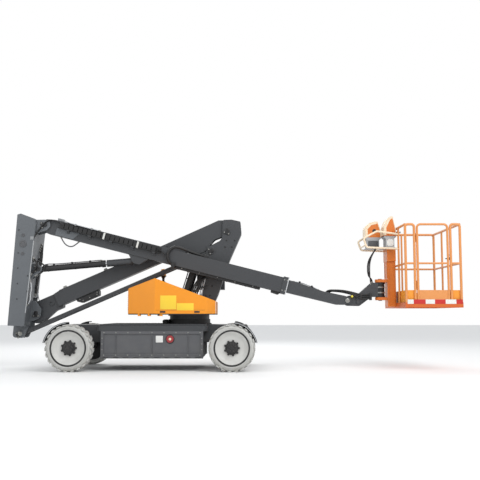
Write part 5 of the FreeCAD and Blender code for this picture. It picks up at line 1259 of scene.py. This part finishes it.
def makeLowerBoom():
    right, left = lowerY - 0.090, lowerY + 0.090
    bm = bmesh.new()
    addLathe(bm, [(0.020, 0), (0.034, 0), (0.034, 0.006), (0.030, 0.009), (0.020, 0.009), (0.020, 0)],
             lowerAt(0.225, 0.042, lowerY - 0.062), (0, -1, 0), 32)
    keepMesh("lowerBoomBosses", bm, charcoal, "lower_boom")
    bm = bmesh.new()
    for s, n in ((0.385, 0.155), (0.385, -0.022)):
        for y in (right, left):
            low, high = sorted((y, y + (0.004 if y > lowerY else -0.004)))
            addBlock(bm, (s, low, n - 0.010), (s + 0.040, high, n + 0.010), 0.001, turn=lowerMatrix)
    # doubler plate where the twin elbow plates begin
    for y in (right, left):
        low, high = sorted((y - 0.0005 * (1 if y > lowerY else -1), y + (0.005 if y > lowerY else -0.005)))
        outline = [(1.780, -0.020), (1.960, -0.026), (1.960, 0.156), (1.780, 0.150), (1.740, 0.065)]
        addPlate(bm, outline, low, high, 0.0015, turn=lowerMatrix)
    keepMesh("lowerBoomDoublers", bm, charcoal, "lower_boom")
    rows = []
    for s in (1.800, 1.880, 1.945):
        for n in (0.000, 0.130):
            rows.append((lowerAt(s, n, right - 0.005), (0, -1, 0)))
            rows.append((lowerAt(s, n, left + 0.005), (0, 1, 0)))
    bolts("lowerBoomBolts", rows, 0.008, 0.006, "lower_boom", charcoal)

    bm = bmesh.new()
    for s in (0.470, 1.060):
        addBlock(bm, (s - 0.022, lowerY - 0.075, 0.164), (s + 0.022, lowerY - 0.035, 0.190), 0.004, turn=lowerMatrix)
        addBlock(bm, (s - 0.034, lowerY - 0.080, 0.164), (s + 0.034, lowerY - 0.030, 0.170), 0.001, turn=lowerMatrix)
    keepMesh("lowerBoomEyes", bm, zincBolt, "lower_boom")

    # hoses and pipes on the left side, held by clamps
    routes = []
    for i in range(4):
        n = 0.020 + i * 0.024
        routes.append([lowerAt(0.330, n, left - 0.020), lowerAt(0.400, n, left + 0.014), lowerAt(0.900, n, left + 0.014),
                       lowerAt(1.600, n, left + 0.014), lowerAt(1.690, n, left + 0.014), lowerAt(1.725, n, left - 0.004)])
    hoses("lowerBoomHoses", routes, 0.0085, "lower_boom")
    bm = bmesh.new()
    for i in range(5):
        s = 0.460 + i * 0.285
        addBlock(bm, (s, left - 0.001, 0.002), (s + 0.030, left + 0.027, 0.110), 0.004, turn=lowerMatrix)
    keepMesh("lowerBoomClamps", bm, blackSteel, "lower_boom")
    rows = [(lowerAt(0.475 + i * 0.285, n, left + 0.027), (0, 1, 0)) for i in range(5) for n in (0.032, 0.080)]
    bolts("lowerBoomClampBolts", rows, 0.005, 0.004, "lower_boom")

    # cover of the slung box
    bm = bmesh.new()
    for y in (lowerY - 0.060, lowerY + 0.060):
        low, high = sorted((y - 0.0005 * (1 if y > lowerY else -1), y + (0.004 if y > lowerY else -0.004)))
        addPlate(bm, [(0.570, -0.050), (0.612, -0.098), (0.838, -0.098), (0.852, -0.050)], low, high, 0.001,
                 turn=lowerMatrix)
    keepMesh("slungBoxCovers", bm, blackSteel, "lower_boom")
    rows = [(lowerAt(s, n, lowerY + side * 0.064), (0, side, 0)) for side in (-1, 1)
            for s, n in ((0.590, -0.060), (0.625, -0.088), (0.720, -0.088), (0.825, -0.088), (0.838, -0.060))]
    bolts("slungBoxBolts", rows, 0.005, 0.004, "lower_boom")


makeLowerBoom()

# Cylinders: chrome on the rods, ports with elbow fittings, pipes along the barrels.
def cylinderLane(base, eye):
    direction = (eye - base).normalized()
    place = laneFrame(base, direction)
    turn = math.atan2(direction.z, direction.x)
    return place, laneMatrix(Vector((base.x, 0, base.z)), turn), (eye - base).length


cylinderSizes = {"upperBarrel": 0.040, "upperEnd": 0.872, "upperRod": 0.0222, "lowerBarrel": 0.055,
                 "lowerRod": 0.0302}


def makeCylinders():
    sizes = cylinderSizes
    base, eye = pins["upper_barrel_swing"], upperLane(1.2836, -0.157, upperY)
    place, matrix, length = cylinderLane(base, eye)
    y = base.y
    bm = bmesh.new()
    addRod(bm, place(0.120, 0, y), place(length - 0.395, 0, y), sizes["upperRod"], 40, chamfer=0.02)
    keepMesh("upperRodChrome", bm, chromeRod, "upper_rod")
    bm = bmesh.new()
    end = sizes["upperEnd"]
    addLathe(bm, [(0.041, end - 0.046), (0.0475, end - 0.044), (0.0475, end - 0.002), (0.044, end + 0.0005),
                  (0.0235, end + 0.0005), (0.0235, end - 0.004)], place(0, 0, y), place(1, 0, y) - place(0, 0, y), 48)
    for s in (0.110, 0.470, end - 0.090):
        addLathe(bm, [(0.0398, s), (0.0425, s + 0.001), (0.0425, s + 0.011), (0.0398, s + 0.012)],
                 place(0, 0, y), place(1, 0, y) - place(0, 0, y), 48)
    keepMesh("upperBarrelBands", bm, blackSteel, "upper_barrel")
    routes = [[place(0.074, 0.048, y), place(0.100, 0.062, y), place(0.200, 0.050, y), place(0.420, 0.049, y),
               place(0.700, 0.049, y), place(end - 0.070, 0.052, y), place(end - 0.052, 0.046, y)]]
    hoses("upperBarrelPipe", routes, 0.0065, "upper_barrel", panelGrey)
    bm = bmesh.new()
    for s in (0.180, 0.420, 0.660):
        addBlock(bm, (s, y - 0.014, 0.036), (s + 0.022, y + 0.014, 0.060), 0.003, turn=matrix)
    addBlock(bm, (0.052, y - 0.022, 0.030), (0.108, y + 0.022, 0.056), 0.004, turn=matrix)
    keepMesh("upperBarrelClamps", bm, blackSteel, "upper_barrel")

    base, eye = pins["lower_barrel_swing"], lowerLane(2.322, -0.0935, lowerY)
    place, matrix, length = cylinderLane(base, eye)
    y = base.y
    end = length - 0.062
    bm = bmesh.new()
    addLathe(bm, [(0.056, end - 0.046), (0.0625, end - 0.044), (0.0625, end - 0.002), (0.058, end + 0.0005),
                  (0.0315, end + 0.0005), (0.0315, end - 0.004)], place(0, 0, y), place(1, 0, y) - place(0, 0, y), 48)
    for s in (0.130, 0.420):
        addLathe(bm, [(0.0548, s), (0.0580, s + 0.001), (0.0580, s + 0.013), (0.0548, s + 0.014)],
                 place(0, 0, y), place(1, 0, y) - place(0, 0, y), 48)
    keepMesh("lowerBarrelBands", bm, blackSteel, "lower_barrel")
    # pipe on the barrel's rear, then its clamps
    routes = [[place(0.076, 0.055, y), place(0.100, 0.076, y), place(0.220, 0.066, y), place(0.500, 0.066, y),
               place(end - 0.080, 0.068, y), place(end - 0.058, 0.060, y)]]
    hoses("lowerBarrelPipe", routes, 0.0075, "lower_barrel", panelGrey)
    bm = bmesh.new()
    addBlock(bm, (0.054, y - 0.026, 0.042), (0.116, y + 0.026, 0.070), 0.004, turn=matrix)
    for s in (0.200, 0.520):
        addBlock(bm, (s, y - 0.016, 0.050), (s + 0.026, y + 0.016, 0.078), 0.003, turn=matrix)
    keepMesh("lowerBarrelClamps", bm, blackSteel, "lower_barrel")
    bm = bmesh.new()
    for s in (0.0, ):
        addLathe(bm, [(0.0273, -0.0526), (0.0446, -0.0526), (0.0446, 0.0526), (0.0273, 0.0526)], eye, (0, 1, 0), 48)
    keepMesh("lowerRodEye", bm, blackSteel, "lower_rod")


makeCylinders()
print("lower boom dressed")


# Upper boom: ties round the hose carrier, hoses into the tray, the loop over the top and the pipes.
upperSizes = {"top": 0.100, "side": -0.250, "carrierSide": -0.308, "trayStart": 1.760, "trayEnd": 2.940,
              "trayHalf": 0.054, "trayFoot": -0.134}


def makeUpperBoom():
    sizes = upperSizes
    bm = bmesh.new()
    for s in (0.784, 1.238):
        for low, high in (((-0.3125, 0.001), (-0.3075, 0.091)), ((-0.3125, 0.0855), (-0.2495, 0.0905)),
                          ((-0.3125, 0.001), (-0.2495, 0.0065))):
            addBlock(bm, (s, low[0], low[1]), (s + 0.025, high[0], high[1]), 0.0012, turn=upperMatrix)
    keepMesh("carrierTies", bm, whiteTie, "upper_boom")

    # shelf brackets that hold the carrier
    bm = bmesh.new()
    for i in range(5):
        s = 0.300 + i * 0.290
        addBlock(bm, (s, -0.306, -0.010), (s + 0.040, -0.249, 0.0065), 0.002, turn=upperMatrix)
        addBlock(bm, (s, -0.258, -0.040), (s + 0.040, -0.249, 0.000), 0.002, turn=upperMatrix)
    keepMesh("carrierBrackets", bm, charcoal, "upper_boom")

    routes = []
    for i in range(4):
        y = -0.296 + i * 0.012
        routes.append([upperLane(1.535, 0.048, y), upperLane(1.600, 0.030, y), upperLane(1.660, -0.020, y),
                       upperLane(1.720, -0.075, y + 0.020), upperLane(1.790, -0.112, upperY - 0.036 + i * 0.022)])
    hoses("carrierHoses", routes, 0.0058, "upper_boom", endFinish=None)
    y = -0.272
    loop = [upperLane(1.795, -0.116, -0.215), upperLane(1.735, -0.100, -0.262), upperLane(1.668, -0.030, -0.290),
            upperLane(1.656, 0.050, -0.284), upperLane(1.700, 0.125, y), upperLane(1.757, 0.147, -0.255),
            upperLane(1.905, 0.134, -0.225), upperLane(2.040, 0.118, -0.205), upperLane(2.150, 0.115, -0.200)]
    hoses("bigLoop", [loop], 0.0185, "upper_boom", endFinish=None)
    bm = bmesh.new()
    addBlock(bm, (2.120, -0.228, 0.099), (2.180, -0.172, 0.136), 0.004, turn=upperMatrix)
    addBlock(bm, (1.740, -0.276, -0.140), (1.786, -0.236, -0.060), 0.004, turn=upperMatrix)
    keepMesh("loopClamps", bm, blackSteel, "upper_boom")
    bolts("loopClampBolts", [(upperLane(2.134, 0.136, -0.212), (0, 0, 1)), (upperLane(2.166, 0.136, -0.188),
                                                                        (0, 0, 1))], 0.005, 0.004, "upper_boom")

    # steel pipes on the near top edge, from the fitting block to the carrier
    routes = [[upperLane(0.185, 0.116, -0.190), upperLane(0.240, 0.112, -0.225), upperLane(0.330, 0.102, y0),
               upperLane(0.520, 0.100, y0), upperLane(0.720, 0.100, y0)] for y0 in (-0.262, -0.281)]
    hoses("topPipes", routes, 0.0065, "upper_boom", silverBand)
    bm = bmesh.new()
    addBlock(bm, (0.130, -0.212, 0.099), (0.212, -0.138, 0.134), 0.004, turn=upperMatrix)
    for s in (0.380, 0.600):
        addBlock(bm, (s, -0.292, 0.086), (s + 0.028, -0.248, 0.110), 0.003, turn=upperMatrix)
    keepMesh("topFittingBlock", bm, galvanised, "upper_boom")
    # hanging loop under the tube, clipped at both ends
    loop = [upperLane(0.235, -0.098, -0.225), upperLane(0.262, -0.132, -0.232), upperLane(0.330, -0.190, -0.240),
            upperLane(0.410, -0.196, -0.240), upperLane(0.462, -0.140, -0.232), upperLane(0.486, -0.098, -0.225)]
    hoses("hangingLoop", [loop], 0.0080, "upper_boom", panelGrey)

    # tray: ribs across and side bolts
    bm = bmesh.new()
    low, high = upperY - sizes["trayHalf"], upperY + sizes["trayHalf"]
    for i in range(9):
        s = sizes["trayStart"] + 0.060 + i * 0.132
        addBlock(bm, (s, low - 0.003, sizes["trayFoot"] - 0.003), (s + 0.014, high + 0.003, sizes["trayFoot"] + 0.028),
                 0.0015, turn=upperMatrix)
    keepMesh("trayRibs", bm, blackSteel, "upper_boom")
    rows = []
    for i in range(5):
        s = 1.880 + i * 0.240
        for side in (-1, 1):
            rows.append((upperLane(s, -0.112, upperY + side * (sizes["trayHalf"])), (0, side, 0)))
    bolts("trayBolts", rows, 0.005, 0.004, "upper_boom")

    # collar: screws that set the wear pads, and a bright band at its mouth
    rows = []
    for s in (3.222, 3.260):
        for side, face in ((-1, -0.262), (1, -0.078)):
            for n in (-0.070, 0.070):
                rows.append((upperLane(s, n, face), (0, side, 0)))
        for y in (-0.220, -0.120):
            rows.append((upperLane(s, 0.112, y), upperMatrix.to_3x3() @ Vector((0, 0, 1))))
    bolts("collarScrews", rows, 0.0065, 0.005, "upper_boom")
    bm = bmesh.new()
    for low, high in (((-0.2635, -0.1135), (-0.0765, -0.1085)), ((-0.2635, 0.1085), (-0.0765, 0.1135)),
                      ((-0.2635, -0.1135), (-0.2585, 0.1135)), ((-0.0815, -0.1135), (-0.0765, 0.1135))):
        addBlock(bm, (3.268, low[0], low[1]), (3.279, high[0], high[1]), 0.0015, turn=upperMatrix)
    keepMesh("collarMouthBand", bm, silverBand, "upper_boom")

    # doubler plates round the boom's pin
    bm = bmesh.new()
    for side in (-1, 1):
        face = upperY + side * 0.080
        low, high = sorted((face - side * 0.001, face + side * 0.005))
        addPlate(bm, [(0.160, -0.094), (0.400, -0.094), (0.470, 0.002), (0.160, 0.002)], low, high, 0.0015,
                 turn=upperMatrix)
    keepMesh("upperBoomDoublers", bm, postGrey, "upper_boom")


makeUpperBoom()

# Hoses that cross from the post to the upper boom beside its pin, and those on the post.
postSizes = {"right": -0.300, "left": 0.228, "edgeStart": -1.500, "edgeEnd": -1.760}


def makePost():
    sizes = postSizes
    pin = pins["upper_boom_lift"]
    routes = []
    for i in range(3):
        y = -0.268 - i * 0.014
        start = at(-1.600, y, 1.700 - 0.010 * i)
        routes.append([start, at(-1.560, y - 0.004, 1.760), at(-1.510, y - 0.004, 1.835), upperLane(0.020, 0.070, y),
                       upperLane(0.110, 0.092, y), upperLane(0.215, 0.072, y + 0.004)])
    hoses("pivotHoses", routes, 0.0070, "post", blendTo="upper_boom",
          bend=(at(-1.540, -0.28, 1.800), upperLane(0.090, 0.085, -0.28)), endFinish=None)
    bm = bmesh.new()
    addBlock(bm, at(-1.640, -0.304, 1.672), at(-1.592, -0.240, 1.716), 0.004)
    keepMesh("pivotHoseBlock", bm, galvanised, "post")
    bm = bmesh.new()
    addBlock(bm, (0.200, -0.306, 0.052), (0.244, -0.249, 0.090), 0.003, turn=upperMatrix)
    keepMesh("pivotHoseClip", bm, blackSteel, "upper_boom")

    # hoses down the post's front face
    routes = []
    for i, y in enumerate((0.040, 0.062, 0.084, 0.106)):
        top, _ = touch("post", at(-1.2, y, 1.560 + 0.03 * i), (-1, 0, 0))
        foot, _ = touch("post", at(-1.2, y, 0.960), (-1, 0, 0))
        routes.append([top - Vector((0.004, 0, 0)), top + Vector((0.020, 0, -0.030)),
                       Vector((top.x + 0.014, y, 1.400)), Vector((foot.x + 0.014, y, 1.100)),
                       foot + Vector((0.020, 0, 0.040)), foot - Vector((0.004, 0, 0))])
    hoses("postHoses", routes, 0.0075, "post")
    bm = bmesh.new()
    for z in (1.440, 1.240, 1.060):
        face, _ = touch("post", at(-1.2, 0.073, z), (-1, 0, 0))
        addBlock(bm, (face.x - 0.002, 0.026, z - 0.014), (face.x + 0.026, 0.120, z + 0.014), 0.004)
    keepMesh("postClamps", bm, blackSteel, "post")

    # pale pipes and black loops at the front face's right edge
    routes, loops = [], []
    for i, y in enumerate((-0.262, -0.240)):
        spots = [touch("post", at(-1.2, y, z), (-1, 0, 0))[0] for z in (1.140, 1.060, 0.960, 0.870, 0.820)]
        routes.append([spots[0] - Vector((0.004, 0, 0)), spots[1] + Vector((0.030, 0, 0)),
                       spots[2] + Vector((0.020, 0, 0)), spots[3] + Vector((0.032, 0, 0)),
                       spots[4] - Vector((0.004, 0, 0))])
    hoses("postPipes", routes, 0.0085, "post", silverBand)
    for i, y in enumerate((-0.272, -0.246, -0.220)):
        spots = [touch("post", at(-1.2, y, z), (-1, 0, 0))[0] for z in (1.440 - 0.020 * i, 1.390, 1.290, 1.210)]
        loops.append([spots[0] - Vector((0.004, 0, 0)), spots[1] + Vector((0.055 + 0.010 * i, 0, 0.020)),
                      spots[2] + Vector((0.060 + 0.010 * i, 0, 0)), spots[3] - Vector((0.004, 0, 0))])
    hoses("postLoops", loops, 0.0100, "post")

    # painted highlight: a pale strip down the front edge of each side face, standing for light caught on that edge
    for side, face in ((-1, sizes["right"]), (1, sizes["left"])):
        edge = []
        for z in (1.660, 1.500, 1.300, 1.100, 0.900, 0.720):
            x = sizes["edgeStart"]
            while x > sizes["edgeEnd"]:
                spot, _ = touch("post", at(x, face + side * 0.3, z), (0, -side, 0), False)
                if spot is not None and abs(spot.y - face) < 0.010:
                    edge.append(Vector((spot.x - 0.004, face, z)))
                    break
                x -= 0.002
        hoses("postEdgeHighlight" + ("Right" if side < 0 else "Left"), [edge], 0.0060, "post", boxGrey,
              endFinish=None)

    # bosses on the right and left faces
    bm = bmesh.new()
    for x, z, radius in ((-1.732, 1.619, 0.048), (-1.732, 1.730, 0.022), (-1.732, 1.490, 0.022)):
        for side, face in ((-1, sizes["right"]), (1, sizes["left"])):
            spot, _ = touch("post", at(x, face + side * 0.2, z), (0, -side, 0))
            addLathe(bm, [(0, -0.002), (radius, -0.002), (radius, 0.004), (radius * 0.9, 0.007),
                          (radius * 0.62, 0.007), (radius * 0.56, 0.003), (0, 0.003)], spot, (0, side, 0), 36)
    keepMesh("postBosses", bm, panelGrey, "post")
    # bolts down both faces
    rows = []
    for side, face in ((-1, sizes["right"]), (1, sizes["left"])):
        for x, z in ((-1.790, 0.900), (-1.790, 1.100), (-1.790, 1.300), (-1.790, 1.500), (-1.790, 1.800),
                     (-1.660, 1.200), (-1.660, 1.000)):
            spot, facing = touch("post", at(x, face + side * 0.2, z), (0, -side, 0))
            rows.append((spot, facing))
    bolts("postBolts", rows, 0.007, 0.006, "post", charcoal)


makePost()
print("upper boom and post dressed")

# Fly nose and bracket: pipes, gooseneck hoses over the level pin and fittings.
noseSizes = {"lanes": (-0.196, -0.170, -0.144)}


def makeNose():
    sizes = noseSizes
    routes = []
    for y in (-0.196, -0.150):
        spots = [touch("fly", at(x, y, 1.6), (0, 0, -1))[0] for x in (1.800, 1.900, 2.000, 2.090, 2.130)]
        lifts = (-0.003, 0.018, 0.016, 0.012, -0.003)
        routes.append([spot + Vector((0, 0, lift)) for spot, lift in zip(spots, lifts)])
    hoses("nosePipes", routes, 0.0065, "fly", silverBand)
    bm = bmesh.new()
    for x in (1.880, 2.040):
        spot, _ = touch("fly", at(x, -0.173, 1.6), (0, 0, -1))
        addBlock(bm, (-0.012, -0.212, -0.006), (0.012, -0.134, 0.024), 0.003,
                 turn=Matrix.Translation((spot.x, 0, spot.z)) @ Matrix.Rotation(-upperTurn, 4, "Y"))
    keepMesh("nosePipeClamps", bm, blackSteel, "fly")

    routes = []
    cheek = -0.232
    for i, y in enumerate(sizes["lanes"]):
        start, _ = touch("fly", at(2.225 + 0.020 * i, y, 1.4), (0, 0, -1))
        drop = 0.024 * i
        routes.append([start - Vector((0, 0, 0.004)), start + Vector((0.022, -0.004, 0.022)),
                       at(2.330 + 0.015 * i, y - 0.020, 1.018 - drop * 0.3), at(2.440, y - 0.030, 1.014 - drop * 0.4),
                       at(2.560, cheek - 0.004 - 0.004 * i, 0.990 - drop * 0.6),
                       at(2.680, cheek - 0.004 * i, 0.955 - drop), at(2.760, cheek, 0.952 - drop),
                       at(2.800, cheek, 0.952 - drop)])
    level = pins["platform_level"]
    hoses("goosenecks", routes, 0.0100, "fly", blendTo="platform_bracket",
          bend=(Vector((level.x - 0.10, -0.20, level.z + 0.12)), Vector((level.x + 0.10, -0.20, level.z + 0.10))),
          endFinish=None)
    bm = bmesh.new()
    addBlock(bm, at(2.786, -0.252, 0.886), at(2.818, -0.214, 0.976), 0.005)
    addBlock(bm, at(2.664, -0.250, 0.898), at(2.688, -0.216, 0.968), 0.004)
    keepMesh("gooseneckClamps", bm, blackSteel, "platform_bracket")
    bm = bmesh.new()
    addFerrule(bm, at(2.560, -0.222, 0.930), (0, -1, 0.2), 0.012)
    keepMesh("yellowFitting", bm, brassFitting, "platform_bracket")

    # bracket: the rotator's ring of bolts
    rows = []
    turn = pins["platform_turn"]
    for i in range(10):
        angle = 2 * math.pi * i / 10
        spot, facing = touch("rotator", Vector((turn.x + 0.045 * math.cos(angle), turn.y + 0.045 * math.sin(angle),
                                                1.3)), (0, 0, -1))
        rows.append((spot, facing))
    bolts("rotatorBolts", rows, 0.0055, 0.006, "platform_bracket", blackSteel)

    routes = []
    for i in range(3):
        y = -0.215 + i * 0.022
        low, _ = touch("platform_bracket", at(2.810 + 0.016 * i, y, 1.4), (0, 0, -1))
        routes.append([low - Vector((0, 0, 0.004)), low + Vector((-0.004, 0, 0.050)),
                       at(2.800 - 0.010 * i, y - 0.004, 1.200), at(2.800 - 0.012 * i, y - 0.008, 1.380),
                       at(2.845, y - 0.004, 1.500), at(2.895, y, 1.566)])
    hoses("consoleCables", routes, 0.0068, "platform_bracket", blendTo="basket",
          bend=(at(2.81, -0.20, 1.120), at(2.85, -0.20, 1.480)))


makeNose()
print("nose dressed")

# Basket: striped rim, gate latch, floor grip, and bolts that hold the rails.
basketSizes = {"rear": 3.130, "front": 3.840, "right": -0.815, "left": 0.475, "stripeLow": 0.830,
               "stripeHigh": 0.884, "floorTop": 0.848}
stripeEnds = (3.155, 3.230, 3.377, 3.491, 3.622, 3.753, 3.834)


def makeBasket():
    sizes = basketSizes
    low, high = sizes["stripeLow"], sizes["stripeHigh"]
    white, red = bmesh.new(), bmesh.new()
    for i, (x0, x1) in enumerate(zip(stripeEnds, stripeEnds[1:])):
        for y0, y1 in ((sizes["right"] - 0.0006, sizes["right"] + 0.001), (sizes["left"] - 0.001,
                                                                          sizes["left"] + 0.0006)):
            addBlock(red if i % 2 else white, at(x0, y0, low), at(x1, y1, high), 0)
    count = 10
    span = (sizes["left"] - sizes["right"] - 0.030) / count
    for i in range(count):
        y0 = sizes["right"] + 0.015 + i * span
        addBlock(red if i % 2 else white, at(sizes["front"] - 0.001, y0, low), at(sizes["front"] + 0.0006, y0 + span,
                 high), 0)
    keepMesh("whiteStripes", white, whiteStripe, "basket")
    keepMesh("redStripes", red, redStripe, "basket")

    # screws of the floor plate and of the rim
    rows = []
    for x in (3.160, 3.810):
        for i in range(7):
            rows.append((at(x, -0.740 + i * 0.195, 0.850), (0, 0, 1)))
    for i in range(8):
        rows.append((at(3.190 + i * 0.083, sizes["left"], 0.806), (0, 1, 0)))
    bolts("basketBolts", rows, 0.0050, 0.0045, "basket")
    rows = []
    for i in range(11):
        for j in range(22):
            spot, facing = touch("basket_floor", at(3.200 + i * 0.056, -0.765 + j * 0.056, 1.0), (0, 0, -1), False)
            if spot is not None and spot.z > sizes["floorTop"]:
                rows.append((spot, facing))
    bolts("gripStuds", rows, 0.0060, 0.0022, "basket", galvanised, 8)

    bm = bmesh.new()
    addBlock(bm, at(3.662, -0.803, 1.372), at(3.704, -0.768, 1.404), 0.004)
    addRod(bm, at(3.640, -0.786, 1.388), at(3.716, -0.786, 1.388), 0.006, 16)
    addRod(bm, at(3.680, -0.786, 1.400), at(3.680, -0.786, 1.428), 0.0045, 16)
    addRod(bm, at(3.680, -0.786, 1.424), at(3.680, -0.786, 1.442), 0.010, 20)
    keepMesh("gateLatch", bm, blackSteel, "gate")


columnSizes = {"rear": 3.022, "front": 3.130, "right": -0.270, "left": -0.070, "rib": 0.010}


def makeColumn():
    # Column behind the basket: upright ribs, a bolted cover under the console, bands on the rotator.
    sizes = columnSizes
    bm = bmesh.new()
    rows = []
    for side, face in ((-1, sizes["right"]), (1, sizes["left"])):
        for x in (sizes["rear"] + 0.014, sizes["front"] - 0.024):
            low, high = sorted((face - side * 0.001, face + side * 0.007))
            addBlock(bm, at(x, low, 0.830), at(x + sizes["rib"], high, 1.355), 0.002)
        low, high = sorted((face - side * 0.001, face + side * 0.005))
        addBlock(bm, at(sizes["rear"] + 0.008, low, 1.385), at(sizes["front"] - 0.008, high, 1.535), 0.003)
        for x in (sizes["rear"] + 0.020, sizes["front"] - 0.020):
            for z in (1.398, 1.460, 1.522):
                rows.append((at(x, face + side * 0.005, z), (0, side, 0)))
    for y in (sizes["right"] + 0.016, sizes["left"] - 0.026):
        addBlock(bm, at(sizes["rear"] - 0.006, y, 1.170), at(sizes["rear"] + 0.001, y + sizes["rib"], 1.520), 0.002)
    keepMesh("columnRibs", bm, basketPaint, "basket")
    bolts("columnBolts", rows, 0.0055, 0.0045, "basket")
    bm = bmesh.new()
    turn = pins["platform_turn"]
    for z in (0.985, 1.055):
        addLathe(bm, [(0.0570, z - 0.009), (0.0610, z - 0.008), (0.0610, z + 0.008), (0.0570, z + 0.009)],
                 Vector((turn.x, turn.y, 0)), (0, 0, 1), 48)
    keepMesh("rotatorBands", bm, zincBolt, "platform_bracket")


makeBasket()
makeColumn()

# Console: cream edges on the hoods, panels on the boxes, joysticks, switches and the stop button.
consoleTable = (
    # name, rear x, front x, right y, left y, hood's foot z, hood's top z
    ("Near", 2.970, 3.126, -0.360, -0.172, 1.716, 1.975),
    ("Far", 2.760, 2.965, -0.168, 0.020, 1.716, 1.930),
)


def makeConsole():
    for name, x0, x1, y0, y1, z0, z1 in consoleTable:
        routes = []
        for y in (y0 + 0.001, y1 - 0.001):
            routes.append([at(x1 - 0.002, y, z0 + 0.004), at(x1 - 0.002, y, z0 + 0.056), at(x1 - 0.012, y, z0 + 0.110),
                           at(x1 - 0.042, y, z1 - 0.012), at(x1 - 0.062, y, z1 - 0.004), at(x0 + 0.080, y, z1 - 0.020),
                           at(x0 + 0.050, y, z1 - 0.032), at(x0 + 0.006, y, z0 + 0.134), at(x0 + 0.002, y, z0 + 0.100),
                           at(x0 + 0.002, y, z0 + 0.004)])
        hoses("hoodEdge" + name, routes, 0.0055, "basket", creamEdge, endFinish=None)
        band = bmesh.new()
        rim = [(x1 - 0.040, z1), (x0 + 0.060, z1 - 0.020), (x0, z0 + 0.120), (x0, z0 + 0.010)]
        inner = [(x1 - 0.052, z1 - 0.034), (x0 + 0.080, z1 - 0.052), (x0 + 0.032, z0 + 0.108), (x0 + 0.032, z0 + 0.010)]
        for k in range(3):
            quad = [rim[k], rim[k + 1], inner[k + 1], inner[k]]
            corners = [(at(x, 0, 0).x, z) for x, z in quad]
            addPlate(band, corners, y0 - 0.0015, y0 + 0.002, 0.0008)
            addPlate(band, corners, y1 - 0.002, y1 + 0.0015, 0.0008)
            (xa, za), (xb, zb) = rim[k], rim[k + 1]
            outX, outZ = Vector((zb - za, xa - xb)).normalized() * -0.002
            sheet = [(xa, za), (xb, zb), (xb + outX, zb + outZ), (xa + outX, za + outZ)]
            addPlate(band, [(at(x, 0, 0).x, z) for x, z in sheet], y0 - 0.001, y1 + 0.001, 0)
        keepMesh("hoodBand" + name, band, creamEdge, "basket")
        bm = bmesh.new()
        for y, side in ((y0, -1), (y1, 1)):
            low, high = sorted((y - side * 0.001, y + side * 0.002))
            addPlate(bm, [(at(x0 + 0.034, 0, 0).x, 1.584), (at(x1 - 0.034, 0, 0).x, 1.584),
                          (at(x1 - 0.034, 0, 0).x, 1.672), (at(x0 + 0.034, 0, 0).x, 1.672)], low, high, 0.001)
        keepMesh("consolePanel" + name, bm, whiteStripe if name == "Near" else panelGrey, "basket")
        rows = [(at(x, y, z), (0, side, 0)) for y, side in ((y0 - 0.002, -1), (y1 + 0.002, 1))
                for x in (x0 + 0.042, x1 - 0.042) for z in (1.592, 1.664)]
        bolts("consoleScrews" + name, rows, 0.0035, 0.0025, "basket")
        # hinge knuckles where the hood meets its box
        bm = bmesh.new()
        for y in (y0 + 0.040, y1 - 0.040):
            addRod(bm, at(x0 - 0.003, y - 0.022, z0), at(x0 - 0.003, y + 0.022, z0), 0.006, 16)
        keepMesh("hoodHinges" + name, bm, blackSteel, "basket")

    # operator's side: sloped black panel with two joysticks, switches and a stop button
    x = 3.126
    panel, knobs, stop, boots = bmesh.new(), bmesh.new(), bmesh.new(), bmesh.new()
    addBlock(panel, at(x - 0.001, -0.350, 1.722), at(x + 0.004, -0.182, 1.772), 0.0015)
    for y in (-0.316, -0.216):
        addLathe(boots, [(0, 0), (0.019, 0), (0.019, 0.004), (0.013, 0.009), (0.015, 0.013), (0.009, 0.019),
                         (0.010, 0.023), (0.0045, 0.028), (0.0045, 0.046), (0, 0.046)],
                 at(x + 0.004, y, 1.747), (1, 0, 0.35), 28)
        addLathe(knobs, [(0, 0.040), (0.008, 0.042), (0.0115, 0.050), (0.0115, 0.064), (0.008, 0.070), (0, 0.071)],
                 at(x + 0.004, y, 1.747), (1, 0, 0.35), 28)
    for i in range(3):
        addRod(knobs, at(x + 0.004, -0.282 + i * 0.016, 1.757), at(x + 0.015, -0.282 + i * 0.016, 1.761), 0.0028, 10)
        addRod(knobs, at(x + 0.003, -0.282 + i * 0.016, 1.735), at(x + 0.008, -0.282 + i * 0.016, 1.735), 0.0042, 14)
    addLathe(stop, [(0, 0), (0.010, 0), (0.010, 0.008), (0.017, 0.010), (0.018, 0.016), (0.014, 0.021), (0, 0.022)],
             at(x + 0.004, -0.341, 1.760), (1, 0, 0), 32)
    keepMesh("consoleFace", panel, blackSteel, "basket")
    keepMesh("joystickBoots", boots, hoseRubber, "basket")
    keepMesh("consoleKnobs", knobs, galvanised, "basket")
    keepMesh("stopButton", stop, redLens, "basket")
    # vent in the far hood's side
    bm = bmesh.new()
    addLathe(bm, [(0, -0.001), (0.027, -0.001), (0.027, 0.002), (0.022, 0.004), (0.020, 0.001), (0, 0.001)],
             at(2.880, -0.168, 1.800), (0, -1, 0), 36)
    keepMesh("hoodVent", bm, blackSteel, "basket")


makeConsole()
print("basket dressed")


floorMesh = bpy.data.meshes.new("studioFloor")
floorMesh.from_pydata([(-40, -40, 0), (40, -40, 0), (40, 40, 0), (-40, 40, 0)], [], [(0, 1, 2, 3)])
studioFloor = bpy.data.objects.new("studioFloor", floorMesh)
scene.collection.objects.link(studioFloor)
floorPaint = bpy.data.materials.new("floorPaint")
floorPaint.use_nodes = True
floorShader = floorPaint.node_tree.nodes["Principled BSDF"]
floorShader.inputs["Base Color"].default_value = (0.93, 0.93, 0.92, 1.0)
floorShader.inputs["Roughness"].default_value = 0.9
floorMesh.materials.append(floorPaint)

print("scene ready")
